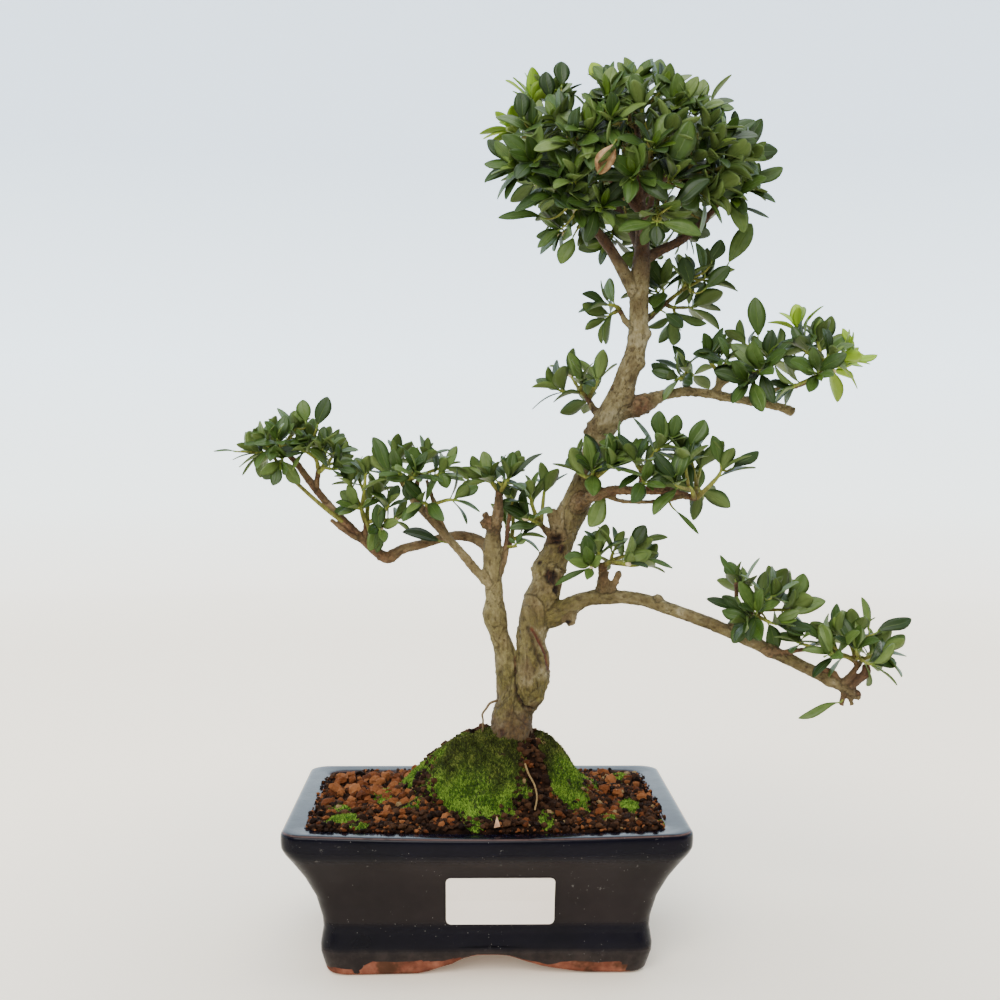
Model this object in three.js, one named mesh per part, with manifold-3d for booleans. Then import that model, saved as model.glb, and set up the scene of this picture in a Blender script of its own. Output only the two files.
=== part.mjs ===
// A Japanese holly bonsai in a glazed rectangular pot.
// Millimetres, +Z up. The pot's front faces -Y, and z = 0 is the surface that its feet stand on.
// Everything is placed from the middle of the pot, and the last lines move it to the part's own origin.
import * as THREE from "three";
import { mergeVertices } from "three/addons/utils/BufferGeometryUtils.js";
import Module from "manifold-3d";

const wasm = await Module();
wasm.setup();

const UP = new THREE.Vector3(0, 0, 1);
const GOLDEN_ANGLE = Math.PI * (3 - Math.sqrt(5));
// what lies against another piece keeps this much room
const GAP = 0.3;

// Pot
const POT_LENGTH = 190;
const POT_DEPTH = 135.4;
const POT_HEIGHT = 72.9;
const POT_CORNER = 9;
const RIM_WIDTH = 12;
const FLOOR_UNDERSIDE = 10.5;
const FLOOR_TOP = 16;
// the underside is hollowed inside a ring this wide, measured at this height
const FOOT_RING = 9;
const FOOT_RING_HEIGHT = 7;
// outer wall from the feet to the rim: height, and how far inside the rim's edge it lies
const POT_WALL = [
  [0, 20],
  [1.2, 18.4],
  [5, 17.2],
  [10.5, 15.6],
  [14, 15.4],
  [18, 16],
  [22, 16.6],
  [27, 16.2],
  [38, 13.4],
  [48.7, 8.9],
  [57, 4.3],
  [62, 1.2],
  [65, 0],
  [71.4, 0],
  [72.5, 0.5],
  [POT_HEIGHT, 1.5],
];
// inner wall from the floor up, past the rim's top
const POT_INSIDE = [
  [FLOOR_TOP, 26],
  [20, 24],
  [38, 20.5],
  [48.7, 16.5],
  [60, 12.8],
  [POT_HEIGHT + 1, RIM_WIDTH],
];
// half of the arch between two feet: distance from its middle, and height
const ARCH = [
  [0, 10],
  [8, 9.8],
  [15, 8],
  [25, 5.8],
  [38, 4.2],
  [50, 0.4],
  [54, -1],
];
const SIDE_ARCH_SCALE = 0.55;
const DRAIN_SPACING = 76;
const DRAIN_RADIUS = 8;
const DRAIN_SIDES = 12;
const SCREEN_SIZE = 26;
const SCREEN_THICKNESS = 1;
const SCREEN_HOLE = 9;

// Label: a blank sticker that follows the front wall
const LABEL_LEFT = -19.6;
const LABEL_RIGHT = 32.1;
const LABEL_BOTTOM = 25.2;
const LABEL_TOP = 50.2;
const LABEL_CORNER = 2.4;
const LABEL_CORNER_STEPS = 4;
const LABEL_THICKNESS = 0.4;

// Soil and moss
const SOIL_EDGE = 72;
const SOIL_LEVELS = [FLOOR_TOP + GAP, 38, 60];
// rings of the soil's top, as parts of the way from the middle to the pot's wall
const SOIL_RINGS = [1, 0.87, 0.72, 0.58, 0.45, 0.33, 0.2, 0.06];
const SOIL_WALL_GAP = 0.2;
const MOUND = { x: 3, y: 3, left: 57, right: 50, deep: 52, height: 33 };
const SHOULDER = { x: 37, y: 4, reach: 19, height: 12 };
// grains of baked clay on the soil: each patch's middle and half sizes, how many, and their sizes
const GRAINS = [
  { x: -58, y: 12, halfX: 22, halfY: 38, count: 10, small: 3, large: 4.8, seed: 11 },
  { x: 66, y: 6, halfX: 14, halfY: 40, count: 5, small: 2.6, large: 4, seed: 23 },
  { x: -26, y: -40, halfX: 20, halfY: 12, count: 2, small: 2.6, large: 3.6, seed: 37 },
  { x: 2, y: 46, halfX: 46, halfY: 7, count: 3, small: 2.6, large: 4, seed: 53 },
];
// moss mats on the soil: middle, half sizes, thickness, size of the bumps, points round the edge, and rings
const MOSS = {
  moss_front: {
    x: -5,
    y: -18.5,
    halfX: 26,
    halfY: 30.5,
    thick: 4.2,
    bump: 0.9,
    around: 14,
    rings: 3,
    seed: 5,
  },
  moss_right: { x: 39, y: -7, halfX: 11, halfY: 24, thick: 3.4, bump: 0.8, around: 12, rings: 3, seed: 17 },
  moss_left: { x: -37, y: 6, halfX: 8, halfY: 14, thick: 2.6, bump: 0.6, around: 9, rings: 2, seed: 29 },
  moss_corner: { x: -70, y: -40, halfX: 9, halfY: 8, thick: 2.4, bump: 0.5, around: 8, rings: 2, seed: 41 },
  moss_side: { x: 72, y: -18, halfX: 6, halfY: 16, thick: 2.6, bump: 0.6, around: 8, rings: 2, seed: 47 },
};
// every mat starts well below the soil's face and is cut to it; its edge stands a little proud
const MOSS_ROOT = -6;
const MOSS_EDGE = 1.3;
const SPLINTER = { x: 4.5, y: -56.5, height: 5.4, width: 3, thick: 0.9, lean: 1.25, turn: 0.2 };

// Wood: the routes of the trunk and its branches, each point as x, y, z and radius
const WOOD = {
  base: [
    [8, 0, 58, 13],
    [9, 0, 74, 13.4],
    [11, 0, 88, 12.6],
    [12.5, 0, 103, 10.8],
    [14, 0, 117, 9.9],
    [16, 0, 127, 8.7],
    [16, 0, 136, 6.6],
  ],
  left_trunk: [
    [13, 1, 120, 7.1],
    [11, 0, 138, 6.3],
    [9, 0, 149, 5.2],
    [6, -1, 159, 4.5],
    [4, -2, 168, 5.3],
    [4, -2, 176, 4.2],
    [3, -3, 187, 4.7],
    [3, -4, 198, 4.5],
    [3, -4, 208, 4],
    [5, -5, 217, 2.9],
    [6, -6, 229, 2.1],
  ],
  trunk: [
    [19, -2, 119, 5.5],
    [22.1, -3.5, 130, 8.2],
    [23.7, -3, 142, 7.9],
    [23, -1, 154, 7.1],
    [25, 1, 166, 7.9],
    [28, 2, 175, 8.6],
    [31, 3, 183, 7.4],
    [32.5, 4, 191, 8.2],
    [36, 5, 200, 6.9],
    [40, 6, 211, 7.1],
    [44, 6, 220, 7.5],
    [48, 5, 229, 6.9],
    [52, 4, 241, 5.9],
    [55, 3, 251, 5.8],
    [58, 2, 261, 6.6],
    [62.5, 1, 269, 7],
    [67, 0, 278, 6.4],
    [71, -2, 290, 5.4],
    [75, -4, 303, 5],
    [76, -6, 319, 4.7],
    [76, -8, 335, 4.9],
    [77, -9, 348, 3.8],
    [77, -9, 363, 3.2],
    [76, -8, 379, 2.5],
    [76, -6, 397, 1.8],
    [75, -3, 412, 1.4],
  ],
  branch_e: [
    [31, 2, 166.5, 6.4],
    [38, 1, 168.3, 5.8],
    [44, 0, 172.2, 4.8],
    [52, -1, 176, 3.7],
    [63, -3, 177, 3.5],
    [78, -5, 176, 3.3],
    [94, -8, 171, 3.2],
    [114, -11, 164, 3.2],
    [135, -14, 155, 3.2],
    [156, -16, 145, 3.1],
    [174, -17, 136, 2.8],
    [188, -17, 128, 2.1],
  ],
  branch_d: [
    [67, 0, 271.5, 4.6],
    [75, 2, 273.8, 5],
    [82, 4, 276.2, 4.5],
    [90, 6, 280, 2.8],
    [105, 9, 282, 2.4],
    [122, 11, 280, 2.4],
    [139, 13, 277, 2.3],
    [151, 14, 275, 2.2],
    [160, 14, 272, 2.1],
  ],
  branch_d_side: [
    [117, 11, 281, 2],
    [123, 9, 288, 2],
    [131, 6, 291, 1.6],
    [138, 3, 292, 1.3],
  ],
  branch_d_out: [
    [136, 13, 278, 1.8],
    [149, 12, 283, 1.6],
    [162, 8, 286, 1.4],
    [169, 5, 290, 1.3],
  ],
  branch_c: [
    [47, -2, 224, 3.4],
    [52, -12, 228, 2.7],
    [62, -19, 232, 2.4],
    [75, -23, 232, 2.3],
    [89, -24, 232, 2],
    [100, -23, 229, 1.6],
  ],
  branch_a: [
    [2, -3, 183, 2.7],
    [-5, -6, 190, 2.3],
    [-13, -10, 200, 2.2],
    [-21, -13, 209, 2.1],
    [-29, -16, 218, 2.1],
    [-36, -18, 226, 2.1],
    [-40, -19, 232, 1.6],
  ],
  branch_b: [
    [3, -2, 198, 3.1],
    [-3, 3, 204.6, 2.8],
    [-12, 6, 207.4, 2.6],
    [-21, 8, 206.6, 2.5],
    [-33, 8, 203, 2.4],
    [-44, 8, 200, 2.5],
    [-51, 7, 196, 2.8],
    [-59, 6, 201, 2.4],
    [-71, 3, 213, 2.2],
    [-83, 1, 226, 2],
    [-92, -1, 238, 1.9],
    [-97, -2, 245, 1.6],
    [-102, -2, 250, 1.4],
  ],
  crown_left: [
    [74, -8, 330, 3.4],
    [66, -10, 344, 3],
    [60, -13, 353, 2.7],
    [53, -16, 361, 2.4],
    [45, -19, 368, 1.8],
  ],
  crown_far_left: [
    [53, -16, 361, 2],
    [45, -8, 375, 1.7],
    [36, -2, 388, 1.4],
  ],
  crown_right: [
    [77, -8, 347, 2.7],
    [88, -6, 353, 2.5],
    [99, -4, 359, 2.3],
    [108, -2, 367, 1.8],
    [116, 0, 376, 1.4],
  ],
  crown_front: [
    [77, -8, 358, 2.4],
    [78, -20, 366, 2],
    [79, -32, 375, 1.6],
  ],
  crown_back: [
    [76, -9, 352, 2.5],
    [74, 6, 363, 2.2],
    [70, 20, 374, 1.9],
    [68, 30, 383, 1.5],
  ],
  crown_back_right: [
    [77, -9, 362, 2.3],
    [87, 8, 371, 2],
    [97, 22, 380, 1.6],
  ],
  crown_upleft: [
    [77, -9, 370, 2.1],
    [66, -12, 381, 1.8],
    [55, -14, 392, 1.5],
  ],
  crown_upright: [
    [76, -8, 378, 2],
    [88, -8, 388, 1.7],
    [99, -6, 399, 1.4],
  ],
  // short side shoots that carry a spray of their own
  spur_f: [
    [61, 2, 266, 2.4],
    [56, 4, 271, 1.9],
    [53, 6, 276, 1.6],
  ],
  spur_g: [
    [75, -5, 312, 1.9],
    [70, -2, 317, 1.6],
    [68, -1, 321, 1.4],
  ],
  spur_h: [
    [75, -6, 312, 2],
    [82, 3, 319, 1.8],
    [90, 8, 326, 1.4],
  ],
  spur_d_near: [
    [103, 9, 281, 1.6],
    [104, 9, 288, 1.4],
  ],
  spur_d_twig: [
    [120, 10, 285, 1.6],
    [119.5, 9, 291, 1.4],
  ],
  spur_c_left: [
    [57, -16, 230, 1.8],
    [54, -18, 236, 1.5],
  ],
  spur_c_mid: [
    [76, -23, 232, 1.8],
    [76, -24, 238, 1.5],
  ],
  spur_e1: [
    [59, -2, 177, 3.2],
    [59.5, -3, 184, 3],
    [59, -4, 191, 2.4],
  ],
  spur_e2: [
    [121, -12, 161, 2],
    [127, -13, 164, 1.8],
    [132, -13, 167, 1.5],
  ],
  spur_e3: [
    [177, -17, 134, 2.2],
    [182, -18, 138, 1.9],
    [185, -18, 142, 1.5],
  ],
  spur_left_back: [
    [3, -3, 195, 1.9],
    [8, 1, 200, 1.6],
    [11, 3, 203, 1.4],
  ],
  spur_trunk_left: [
    [40, 5, 207, 2.6],
    [32, 3, 209, 1.8],
    [29, 2, 212, 1.4],
  ],
  spur_a_low: [
    [-29, -16, 218, 1.7],
    [-29.5, -20, 222, 1.4],
  ],
  spur_b_inner: [
    [-87, 0, 231, 1.7],
    [-86, -2, 238, 1.4],
  ],
  spur_b_mid: [
    [-63, 5, 205, 1.8],
    [-62, 4, 212, 1.5],
  ],
  // cut stubs with no leaves
  stub_trunk: [
    [37, 5, 208, 3.4],
    [33, 3, 221, 2.6],
  ],
  stub_e_end: [
    [182, -17, 131, 1.6],
    [184, -18, 124, 1],
  ],
};
// how many sides the limbs have in the faceted model
const TRUNK_SIDES = { base: 10, trunk: 9, left_trunk: 7, branch_e: 5 };
const BRANCH_SIDES = 5;
const SLIM_SIDES = 4;
const SLIM_RADIUS = 2.5;
// the root end stands in a hole in the soil that is this much wider all round and deeper
const ROOT_CLEARANCE = 0.4;
// old wood is fluted: how deep for each millimetre of radius past this one
const FLUTED_FROM = 4;
const FLUTE_DEPTH = 0.048;

// Sprays: the branch each one grows from, and where its shoots end
const SPRAYS = {
  f: { on: "spur_f", tips: [[36, 8, 283], [48, 4, 287], [58, 14, 288], [54, 22, 276], [44, 18, 290]] },
  g: { on: "spur_g", tips: [[61, 2, 319], [60, -6, 325]] },
  h: {
    on: "spur_h",
    tips: [[113, 10, 341], [103, 4, 340], [89, 0, 334], [109, 22, 327], [97, 14, 320], [87, 12, 335]],
  },
  d_near: { on: "spur_d_near", tips: [[102, 6, 294], [108, 19, 291], [97, 2, 288]] },
  d_twig: { on: "spur_d_twig", tips: [[113, 0, 299], [121, 16, 301], [121, -8, 297]] },
  d_mid: {
    on: "branch_d_side",
    tips: [[136, -12, 291], [142, -6, 298], [130, -16, 286], [133, 10, 307], [151, 12, 302]],
  },
  d_out: {
    on: "branch_d_out",
    tips: [
      [160, -4, 304],
      [169, 2, 308],
      [174, -4, 300],
      [182, 0, 297],
      [165, -14, 290],
      [154, -8, 284],
      [160, 8, 315],
      [176, 20, 305],
      [163, 24, 300],
      [181, 16, 294],
    ],
  },
  c_left: { on: "spur_c_left", tips: [[52, -24, 241], [60, -30, 244], [60, -20, 246], [46, -16, 240]] },
  c_mid: {
    on: "spur_c_mid",
    tips: [[71, -34, 247], [85, -28, 254], [67, -16, 252], [80, -10, 244], [76, -38, 236]],
  },
  c_end: {
    on: "branch_c",
    tips: [[97, -30, 246], [90, -40, 236], [116, -22, 243], [107, -12, 231], [108, -8, 243], [100, -16, 251]],
  },
  e1: {
    on: "spur_e1",
    tips: [
      [52, -16, 193],
      [56, -10, 201],
      [65, -6, 202],
      [76, -2, 199],
      [70, -16, 195],
      [80, 4, 193],
      [58, 10, 197],
      [72, 14, 194],
    ],
  },
  e2: {
    on: "spur_e2",
    tips: [
      [134, -22, 171],
      [143, -20, 179],
      [153, -12, 171],
      [143, -24, 166],
      [130, -22, 167],
      [141, -2, 175],
      [128, -8, 183],
      [150, 4, 176],
      [133, 4, 178],
    ],
  },
  e3: {
    on: "spur_e3",
    tips: [
      [172, -14, 155],
      [176, -22, 161],
      [185, -16, 159],
      [182, -30, 154],
      [199, -18, 150],
      [191, -28, 146],
      [170, -28, 151],
      [156, -20, 156],
      [186, -4, 155],
      [196, -6, 148],
    ],
  },
  left_top: { on: "left_trunk", tips: [[1, -9, 238], [11, -12, 238], [-2, 0, 236], [12, 2, 239]] },
  left_back: { on: "spur_left_back", tips: [[18, 5, 208], [13, 8, 224], [10, 12, 214]] },
  trunk_left: { on: "spur_trunk_left", tips: [[22, -4, 228], [20, -8, 217], [24, 10, 226], [30, 10, 232]] },
  a: {
    on: "branch_a",
    tips: [
      [-43, -27, 240],
      [-35, -32, 240],
      [-24, -22, 240],
      [-31, -20, 247],
      [-51, -14, 239],
      [-46, -10, 247],
      [-34, -4, 246],
      [-22, -8, 243],
    ],
  },
  a_low: { on: "spur_a_low", tips: [[-32, -28, 226], [-16, -22, 227]] },
  b_far: {
    on: "branch_b",
    tips: [
      [-117, -6, 250],
      [-111, -12, 254],
      [-104, -16, 256],
      [-96, -8, 262],
      [-103, -14, 244],
      [-110, 6, 256],
      [-100, 10, 259],
      [-115, 8, 249],
    ],
  },
  b_inner: {
    on: "spur_b_inner",
    tips: [
      [-88, -8, 256],
      [-82, -14, 253],
      [-92, -14, 251],
      [-76, -12, 251],
      [-76, -14, 242],
      [-84, 8, 251],
      [-76, 8, 246],
    ],
  },
  b_mid: {
    on: "spur_b_mid",
    tips: [
      [-69, -6, 234],
      [-61, -10, 240],
      [-66, -6, 222],
      [-54, -4, 212],
      [-50, 0, 224],
      [-67, 10, 237],
      [-56, 12, 231],
      [-47, 10, 216],
    ],
  },
};

// Crown: a dome of shoots, each on the nearest of the crown's branches
const CROWN_BRANCHES = {
  crown_low_left: "crown_left",
  crown_far_left: "crown_far_left",
  crown_up_left: "crown_upleft",
  crown_top: "trunk",
  crown_up_right: "crown_upright",
  crown_right: "crown_right",
  crown_front: "crown_front",
  crown_back: "crown_back",
  crown_back_right: "crown_back_right",
};
const CROWN = { x: 71, y: -3, z: 391, halfX: 60, halfZ: 40, front: 53, back: 54 };
// the back half's shoot ends keep to a smaller outline, since their leaves reach past it
const CROWN_BACK = { halfX: 53, halfZ: 35 };
// shoot ends on the front half as x and z; the dome gives their depth
const CROWN_FRONT_TIPS = [
  [14, 390],
  [13, 412],
  [22, 407],
  [22, 428],
  [32, 427],
  [33, 408],
  [22, 390],
  [39, 397],
  [47, 401],
  [56, 418],
  [60, 424],
  [71, 427],
  [83, 425],
  [57, 405],
  [71, 413],
  [85, 401],
  [89, 415],
  [98, 414],
  [103, 403],
  [106, 394],
  [113, 400],
  [124, 394],
  [130, 384],
  [114, 388],
  [80, 364],
  [86, 380],
  [68, 380],
  [53, 367],
  [32, 375],
  [43, 368],
  [40, 380],
  [56, 387],
  [104, 373],
  [110, 378],
  [76, 392],
  [118, 376],
];
// more of them over the middle of the dome, as x, y and z
const CROWN_MIDDLE_TIPS = [
  [62, 10, 419],
  [82, 14, 417],
  [72, -3, 426],
];
const CROWN_BACK_TIPS = 24;

// Shoots and leaves
const STEM = 3.4;
const MOST_SHOOTS = 4;
const BUNCH_ROUNDS = 4;
// a fork lies this part of the way from the last one to the middle of the tips that it carries
const FORK_PLACE = 0.5;
// the last stretch of a shoot, which its leaves and the next shoots grow from
const FORK_LENGTH = 2.2;
const SHOOT_BOW = 0.3;
const SHOOT_RADIUS = 0.9;
const SHOOT_SWELL = 0.12;
const SHOOT_MOST_RADIUS = 1.4;
const LONG_SHOOT = 24;
// room is tested from this far along a shoot, so that it may touch what it grows from
const ROOT_ROOM = 2.5;
const ROOT_ROOM_PART = 0.6;
// a shoot is bowed aside by this much at first, and by more at every further try
const BOW_TRIES = 12;
const FIRST_BOW = 1.5;
const MORE_BOW = 0.8;
const LEAVES_A_SHOOT = 6;
// round a shoot's end each further leaf leans out more and is longer; all of them turn a little upward
const LEAF_SPREAD = { first: 0.42, more: 0.17, vary: 0.3 };
const LEAF_GROWTH = { first: 0.78, more: 0.06, vary: 0.16 };
const LEAF_LIFT = { axis: 0.3, blade: 0.12, face: 0.45 };
// a leaf grows from the side of a shoot that it points to at least this well
const LEAF_MATCH = 0.25;
const LEAF_LENGTH = 18.6;
const LEAF_WIDTH = 8.4;
const LEAF_THICKNESS = 0.66;
// a blade's outline: part of its length, half width as a part of its width, and how far it arches up
const LEAF_OUTLINE = [
  [0.36, 0.36, 0.03],
  [0.74, 0.48, 0.02],
];
// the space that a leaf needs among its neighbours, whole and without its stalk
const LEAF_ROOM = [[0.04, 0.12, 0], ...LEAF_OUTLINE, [1.02, 0.06, 0]];
const LEAF_BEYOND_ROOT = [[0.22, 0.24, 0.02], ...LEAF_OUTLINE, [1.02, 0.06, 0]];

const LOOKS = {
  glaze: { color: 0x17171f, roughness: 0.25, metalness: 0 },
  screen: { color: 0x1c1c1c, roughness: 0.7, metalness: 0 },
  paper: { color: 0xe9e4de, roughness: 0.6, metalness: 0 },
  soil: { color: 0x3a2218, roughness: 0.95, metalness: 0 },
  moss: { color: 0x4a7a1c, roughness: 0.95, metalness: 0 },
  bark: { color: 0x83805c, roughness: 0.85, metalness: 0 },
  splinter: { color: 0xb98f6c, roughness: 0.8, metalness: 0 },
  leaf: { color: 0x2c5a26, roughness: 0.4, metalness: 0 },
};

function vector([x, y, z]) {
  return new THREE.Vector3(x, y, z);
}

// A repeatable stream of numbers between 0 and 1.
function randomFrom(seed) {
  let state = seed;
  return () => {
    state = (state * 16807) % 2147483647;
    return state / 2147483647;
  };
}

function solidOf(geometry) {
  const bare = geometry.clone();
  bare.deleteAttribute("normal");
  bare.deleteAttribute("uv");
  const merged = mergeVertices(bare, 1e-4);
  return new wasm.Manifold(
    new wasm.Mesh({
      numProp: 3,
      vertProperties: new Float32Array(merged.attributes.position.array),
      triVerts: new Uint32Array(merged.index.array),
    }),
  );
}

function piece(name, shape, look) {
  const { vertProperties, triVerts } = shape.getMesh();
  const geometry = new THREE.BufferGeometry();
  geometry.setAttribute("position", new THREE.BufferAttribute(vertProperties, 3));
  geometry.setIndex(new THREE.BufferAttribute(triVerts, 1));
  geometry.computeVertexNormals();
  const mesh = new THREE.Mesh(geometry, new THREE.MeshStandardMaterial(LOOKS[look]));
  mesh.name = name;
  return mesh;
}

// A closed skin over rings of points that each run anticlockwise seen from where the rings are heading.
function loft(rings) {
  const around = rings[0].length;
  const last = (rings.length - 1) * around;
  const index = [];
  for (let j = 0; j < rings.length - 1; j++) {
    for (let i = 0; i < around; i++) {
      const a = j * around + i;
      const b = j * around + ((i + 1) % around);
      index.push(a, b, b + around, a, b + around, a + around);
    }
  }
  for (let i = 1; i < around - 1; i++) {
    index.push(0, i + 1, i);
    index.push(last, last + i, last + i + 1);
  }
  const geometry = new THREE.BufferGeometry().setFromPoints(rings.flat());
  geometry.setIndex(index);
  return solidOf(geometry);
}

// A rounded rectangle about the pot's middle, with extra points along its straight sides where wanted.
function roundedRect(halfX, halfY, corner, z, cornerSteps = 3, alongX = 0, alongY = 0) {
  const quarters = [
    [1, 1, alongX],
    [-1, 1, alongY],
    [-1, -1, alongX],
    [1, -1, alongY],
  ];
  const points = [];
  quarters.forEach(([sideX, sideY, along], quarter) => {
    for (let i = 0; i <= cornerSteps; i++) {
      const angle = (quarter + i / cornerSteps) * (Math.PI / 2);
      const x = sideX * (halfX - corner) + corner * Math.cos(angle);
      const y = sideY * (halfY - corner) + corner * Math.sin(angle);
      points.push(new THREE.Vector3(x, y, z));
    }
    const [nextX, nextY] = quarters[(quarter + 1) % 4];
    const startAngle = (quarter + 1) * (Math.PI / 2);
    const from = points[points.length - 1];
    const toX = nextX * (halfX - corner) + corner * Math.cos(startAngle);
    const toY = nextY * (halfY - corner) + corner * Math.sin(startAngle);
    for (let i = 1; i <= along; i++) {
      const part = i / (along + 1);
      points.push(new THREE.Vector3(from.x + (toX - from.x) * part, from.y + (toY - from.y) * part, z));
    }
  });
  return points;
}

function valueAt(profile, z) {
  for (let i = 1; i < profile.length; i++) {
    const [lowZ, low] = profile[i - 1];
    const [highZ, high] = profile[i];
    if (z <= highZ) return low + ((high - low) * (z - lowZ)) / (highZ - lowZ);
  }
  return profile[profile.length - 1][1];
}

// Rings round a route of x, y, z and radius. Thick limbs are fluted the way old wood is.
function limbRings(route, sides, grow = 0, from = new THREE.Vector3(1, 0, 0)) {
  const curve = new THREE.CatmullRomCurve3(route.map(vector), false, "centripetal");
  const count = route.length - 1;
  const side = from.clone();
  if (Math.abs(curve.getTangent(0).dot(side)) > 0.8 * side.length()) side.set(0, 1, 0);
  const rings = [];
  for (let i = 0; i <= count; i++) {
    const t = i / count;
    const centre = curve.getPoint(t);
    const along = curve.getTangent(t);
    side.addScaledVector(along, -side.dot(along)).normalize();
    const other = new THREE.Vector3().crossVectors(along, side);
    const radius = route[i][3];
    const flute = Math.max(0, radius - FLUTED_FROM) * FLUTE_DEPTH;
    const ring = [];
    for (let k = 0; k < sides; k++) {
      const angle = (k / sides) * 2 * Math.PI;
      const wave = Math.sin(2 * angle + centre.z / 11) + 0.6 * Math.sin(3 * angle - centre.z / 7);
      const reach = radius + flute * wave + grow;
      ring.push(
        centre
          .clone()
          .addScaledVector(side, reach * Math.cos(angle))
          .addScaledVector(other, reach * Math.sin(angle)),
      );
    }
    rings.push(ring);
  }
  return rings;
}

function limb(route, sides, grow = 0) {
  return loft(limbRings(route, sides, grow));
}

function joined(solids) {
  return wasm.Manifold.union(solids);
}

// Pot

function potRing(inset, z) {
  return roundedRect(POT_LENGTH / 2 - inset, POT_DEPTH / 2 - inset, POT_CORNER, z);
}

function archCutter(scale, reach) {
  const left = ARCH.map(([x, z]) => new THREE.Vector2(-x * scale, z)).reverse();
  const right = ARCH.slice(1).map(([x, z]) => new THREE.Vector2(x * scale, z));
  const geometry = new THREE.ExtrudeGeometry(new THREE.Shape([...left, ...right]), {
    depth: 2 * reach,
    bevelEnabled: false,
  });
  geometry.translate(0, 0, -reach);
  geometry.rotateX(Math.PI / 2);
  return geometry;
}

function drainPlaces() {
  return [-DRAIN_SPACING / 2, DRAIN_SPACING / 2];
}

function pot() {
  const outside = loft(POT_WALL.map(([z, inset]) => potRing(inset, z)));
  const inside = loft(POT_INSIDE.map(([z, inset]) => potRing(inset, z)));
  const footInset = valueAt(POT_WALL, FOOT_RING_HEIGHT) + FOOT_RING;
  const recess = loft([potRing(footInset - 1, -1), potRing(footInset + 1, FLOOR_UNDERSIDE)]);
  const cutters = [inside, recess];
  cutters.push(solidOf(archCutter(1, POT_DEPTH)));
  cutters.push(solidOf(archCutter(SIDE_ARCH_SCALE, POT_LENGTH).rotateZ(Math.PI / 2)));
  for (const x of drainPlaces()) {
    const hole = new THREE.CylinderGeometry(DRAIN_RADIUS, DRAIN_RADIUS, 2 * FLOOR_TOP, DRAIN_SIDES);
    hole.rotateX(Math.PI / 2).translate(x, 0, FLOOR_TOP);
    cutters.push(solidOf(hole));
  }
  return outside.subtract(joined(cutters));
}

// a square of plastic mesh over a drainage hole, lying on the pot's floor
function screen(x) {
  const half = SCREEN_SIZE / 2;
  const bottom = FLOOR_TOP + GAP;
  const plate = new THREE.BoxGeometry(SCREEN_SIZE, SCREEN_SIZE, SCREEN_THICKNESS);
  plate.translate(x, 0, bottom + SCREEN_THICKNESS / 2);
  const holes = [];
  for (const column of [-1, 1]) {
    for (const row of [-1, 1]) {
      const hole = new THREE.BoxGeometry(SCREEN_HOLE, SCREEN_HOLE, half);
      hole.translate(x + (column * SCREEN_SIZE) / 4, (row * SCREEN_SIZE) / 4, bottom);
      holes.push(solidOf(hole));
    }
  }
  return solidOf(plate).subtract(joined(holes));
}

// the front wall's place at a height, a little in front of it
function frontWall(z, clearance) {
  return -(POT_DEPTH / 2 - valueAt(POT_WALL, z)) - clearance;
}

function label() {
  const rows = [];
  for (let i = 0; i <= LABEL_CORNER_STEPS; i++) {
    const angle = ((i / LABEL_CORNER_STEPS) * Math.PI) / 2;
    rows.push([LABEL_CORNER * (1 - Math.cos(angle)), LABEL_CORNER * (1 - Math.sin(angle))]);
  }
  const heights = [
    ...rows.map(([up, inward]) => [LABEL_BOTTOM + up, inward]),
    [(LABEL_BOTTOM + LABEL_TOP) / 2, 0],
    ...rows.reverse().map(([up, inward]) => [LABEL_TOP - up, inward]),
  ];
  return loft(
    heights.map(([z, inward]) => {
      const left = LABEL_LEFT + inward;
      const right = LABEL_RIGHT - inward;
      const back = frontWall(z, GAP);
      const front = frontWall(z, GAP + LABEL_THICKNESS);
      return [
        new THREE.Vector3(left, front, z),
        new THREE.Vector3(right, front, z),
        new THREE.Vector3(right, back, z),
        new THREE.Vector3(left, back, z),
      ];
    }),
  );
}

// Soil and moss

function ripple(x, y) {
  return 0.8 * Math.sin(x / 5.3 + 1.7 * Math.sin(y / 7.1)) + 0.7 * Math.sin(y / 4.7 + x / 11.3);
}

function soilHeight(x, y) {
  const side = x < MOUND.x ? MOUND.left : MOUND.right;
  const apart = Math.hypot((x - MOUND.x) / side, (y - MOUND.y) / MOUND.deep);
  const mound = MOUND.height * Math.exp(-3 * apart ** 3);
  const beside = ((x - SHOULDER.x) ** 2 + (y - SHOULDER.y) ** 2) / SHOULDER.reach ** 2;
  return SOIL_EDGE + mound + SHOULDER.height * Math.exp(-beside) + ripple(x, y);
}

function grain(x, y, size, random) {
  const geometry = new THREE.OctahedronGeometry(1.25 * size, 0);
  geometry.scale(1, 0.75 + 0.4 * random(), 0.7 + 0.3 * random());
  geometry.rotateX(random() * 3).rotateY(random() * 3).rotateZ(random() * 3);
  geometry.translate(x, y, soilHeight(x, y) + 0.3 * size);
  return solidOf(geometry);
}

function grains() {
  const found = [];
  for (const patch of GRAINS) {
    const random = randomFrom(patch.seed);
    const kept = [];
    for (let tries = 0; tries < 400 && kept.length < patch.count; tries++) {
      const x = patch.x + patch.halfX * (2 * random() - 1);
      const y = patch.y + patch.halfY * (2 * random() - 1);
      const size = patch.small + (patch.large - patch.small) * random();
      if (kept.some((other) => Math.hypot(other.x - x, other.y - y) < 0.85 * (other.size + size))) continue;
      if (!onBareSoil(x, y, size)) continue;
      kept.push({ x, y, size });
    }
    found.push(...kept.map(({ x, y, size }) => grain(x, y, size, random)));
  }
  return found;
}

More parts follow.
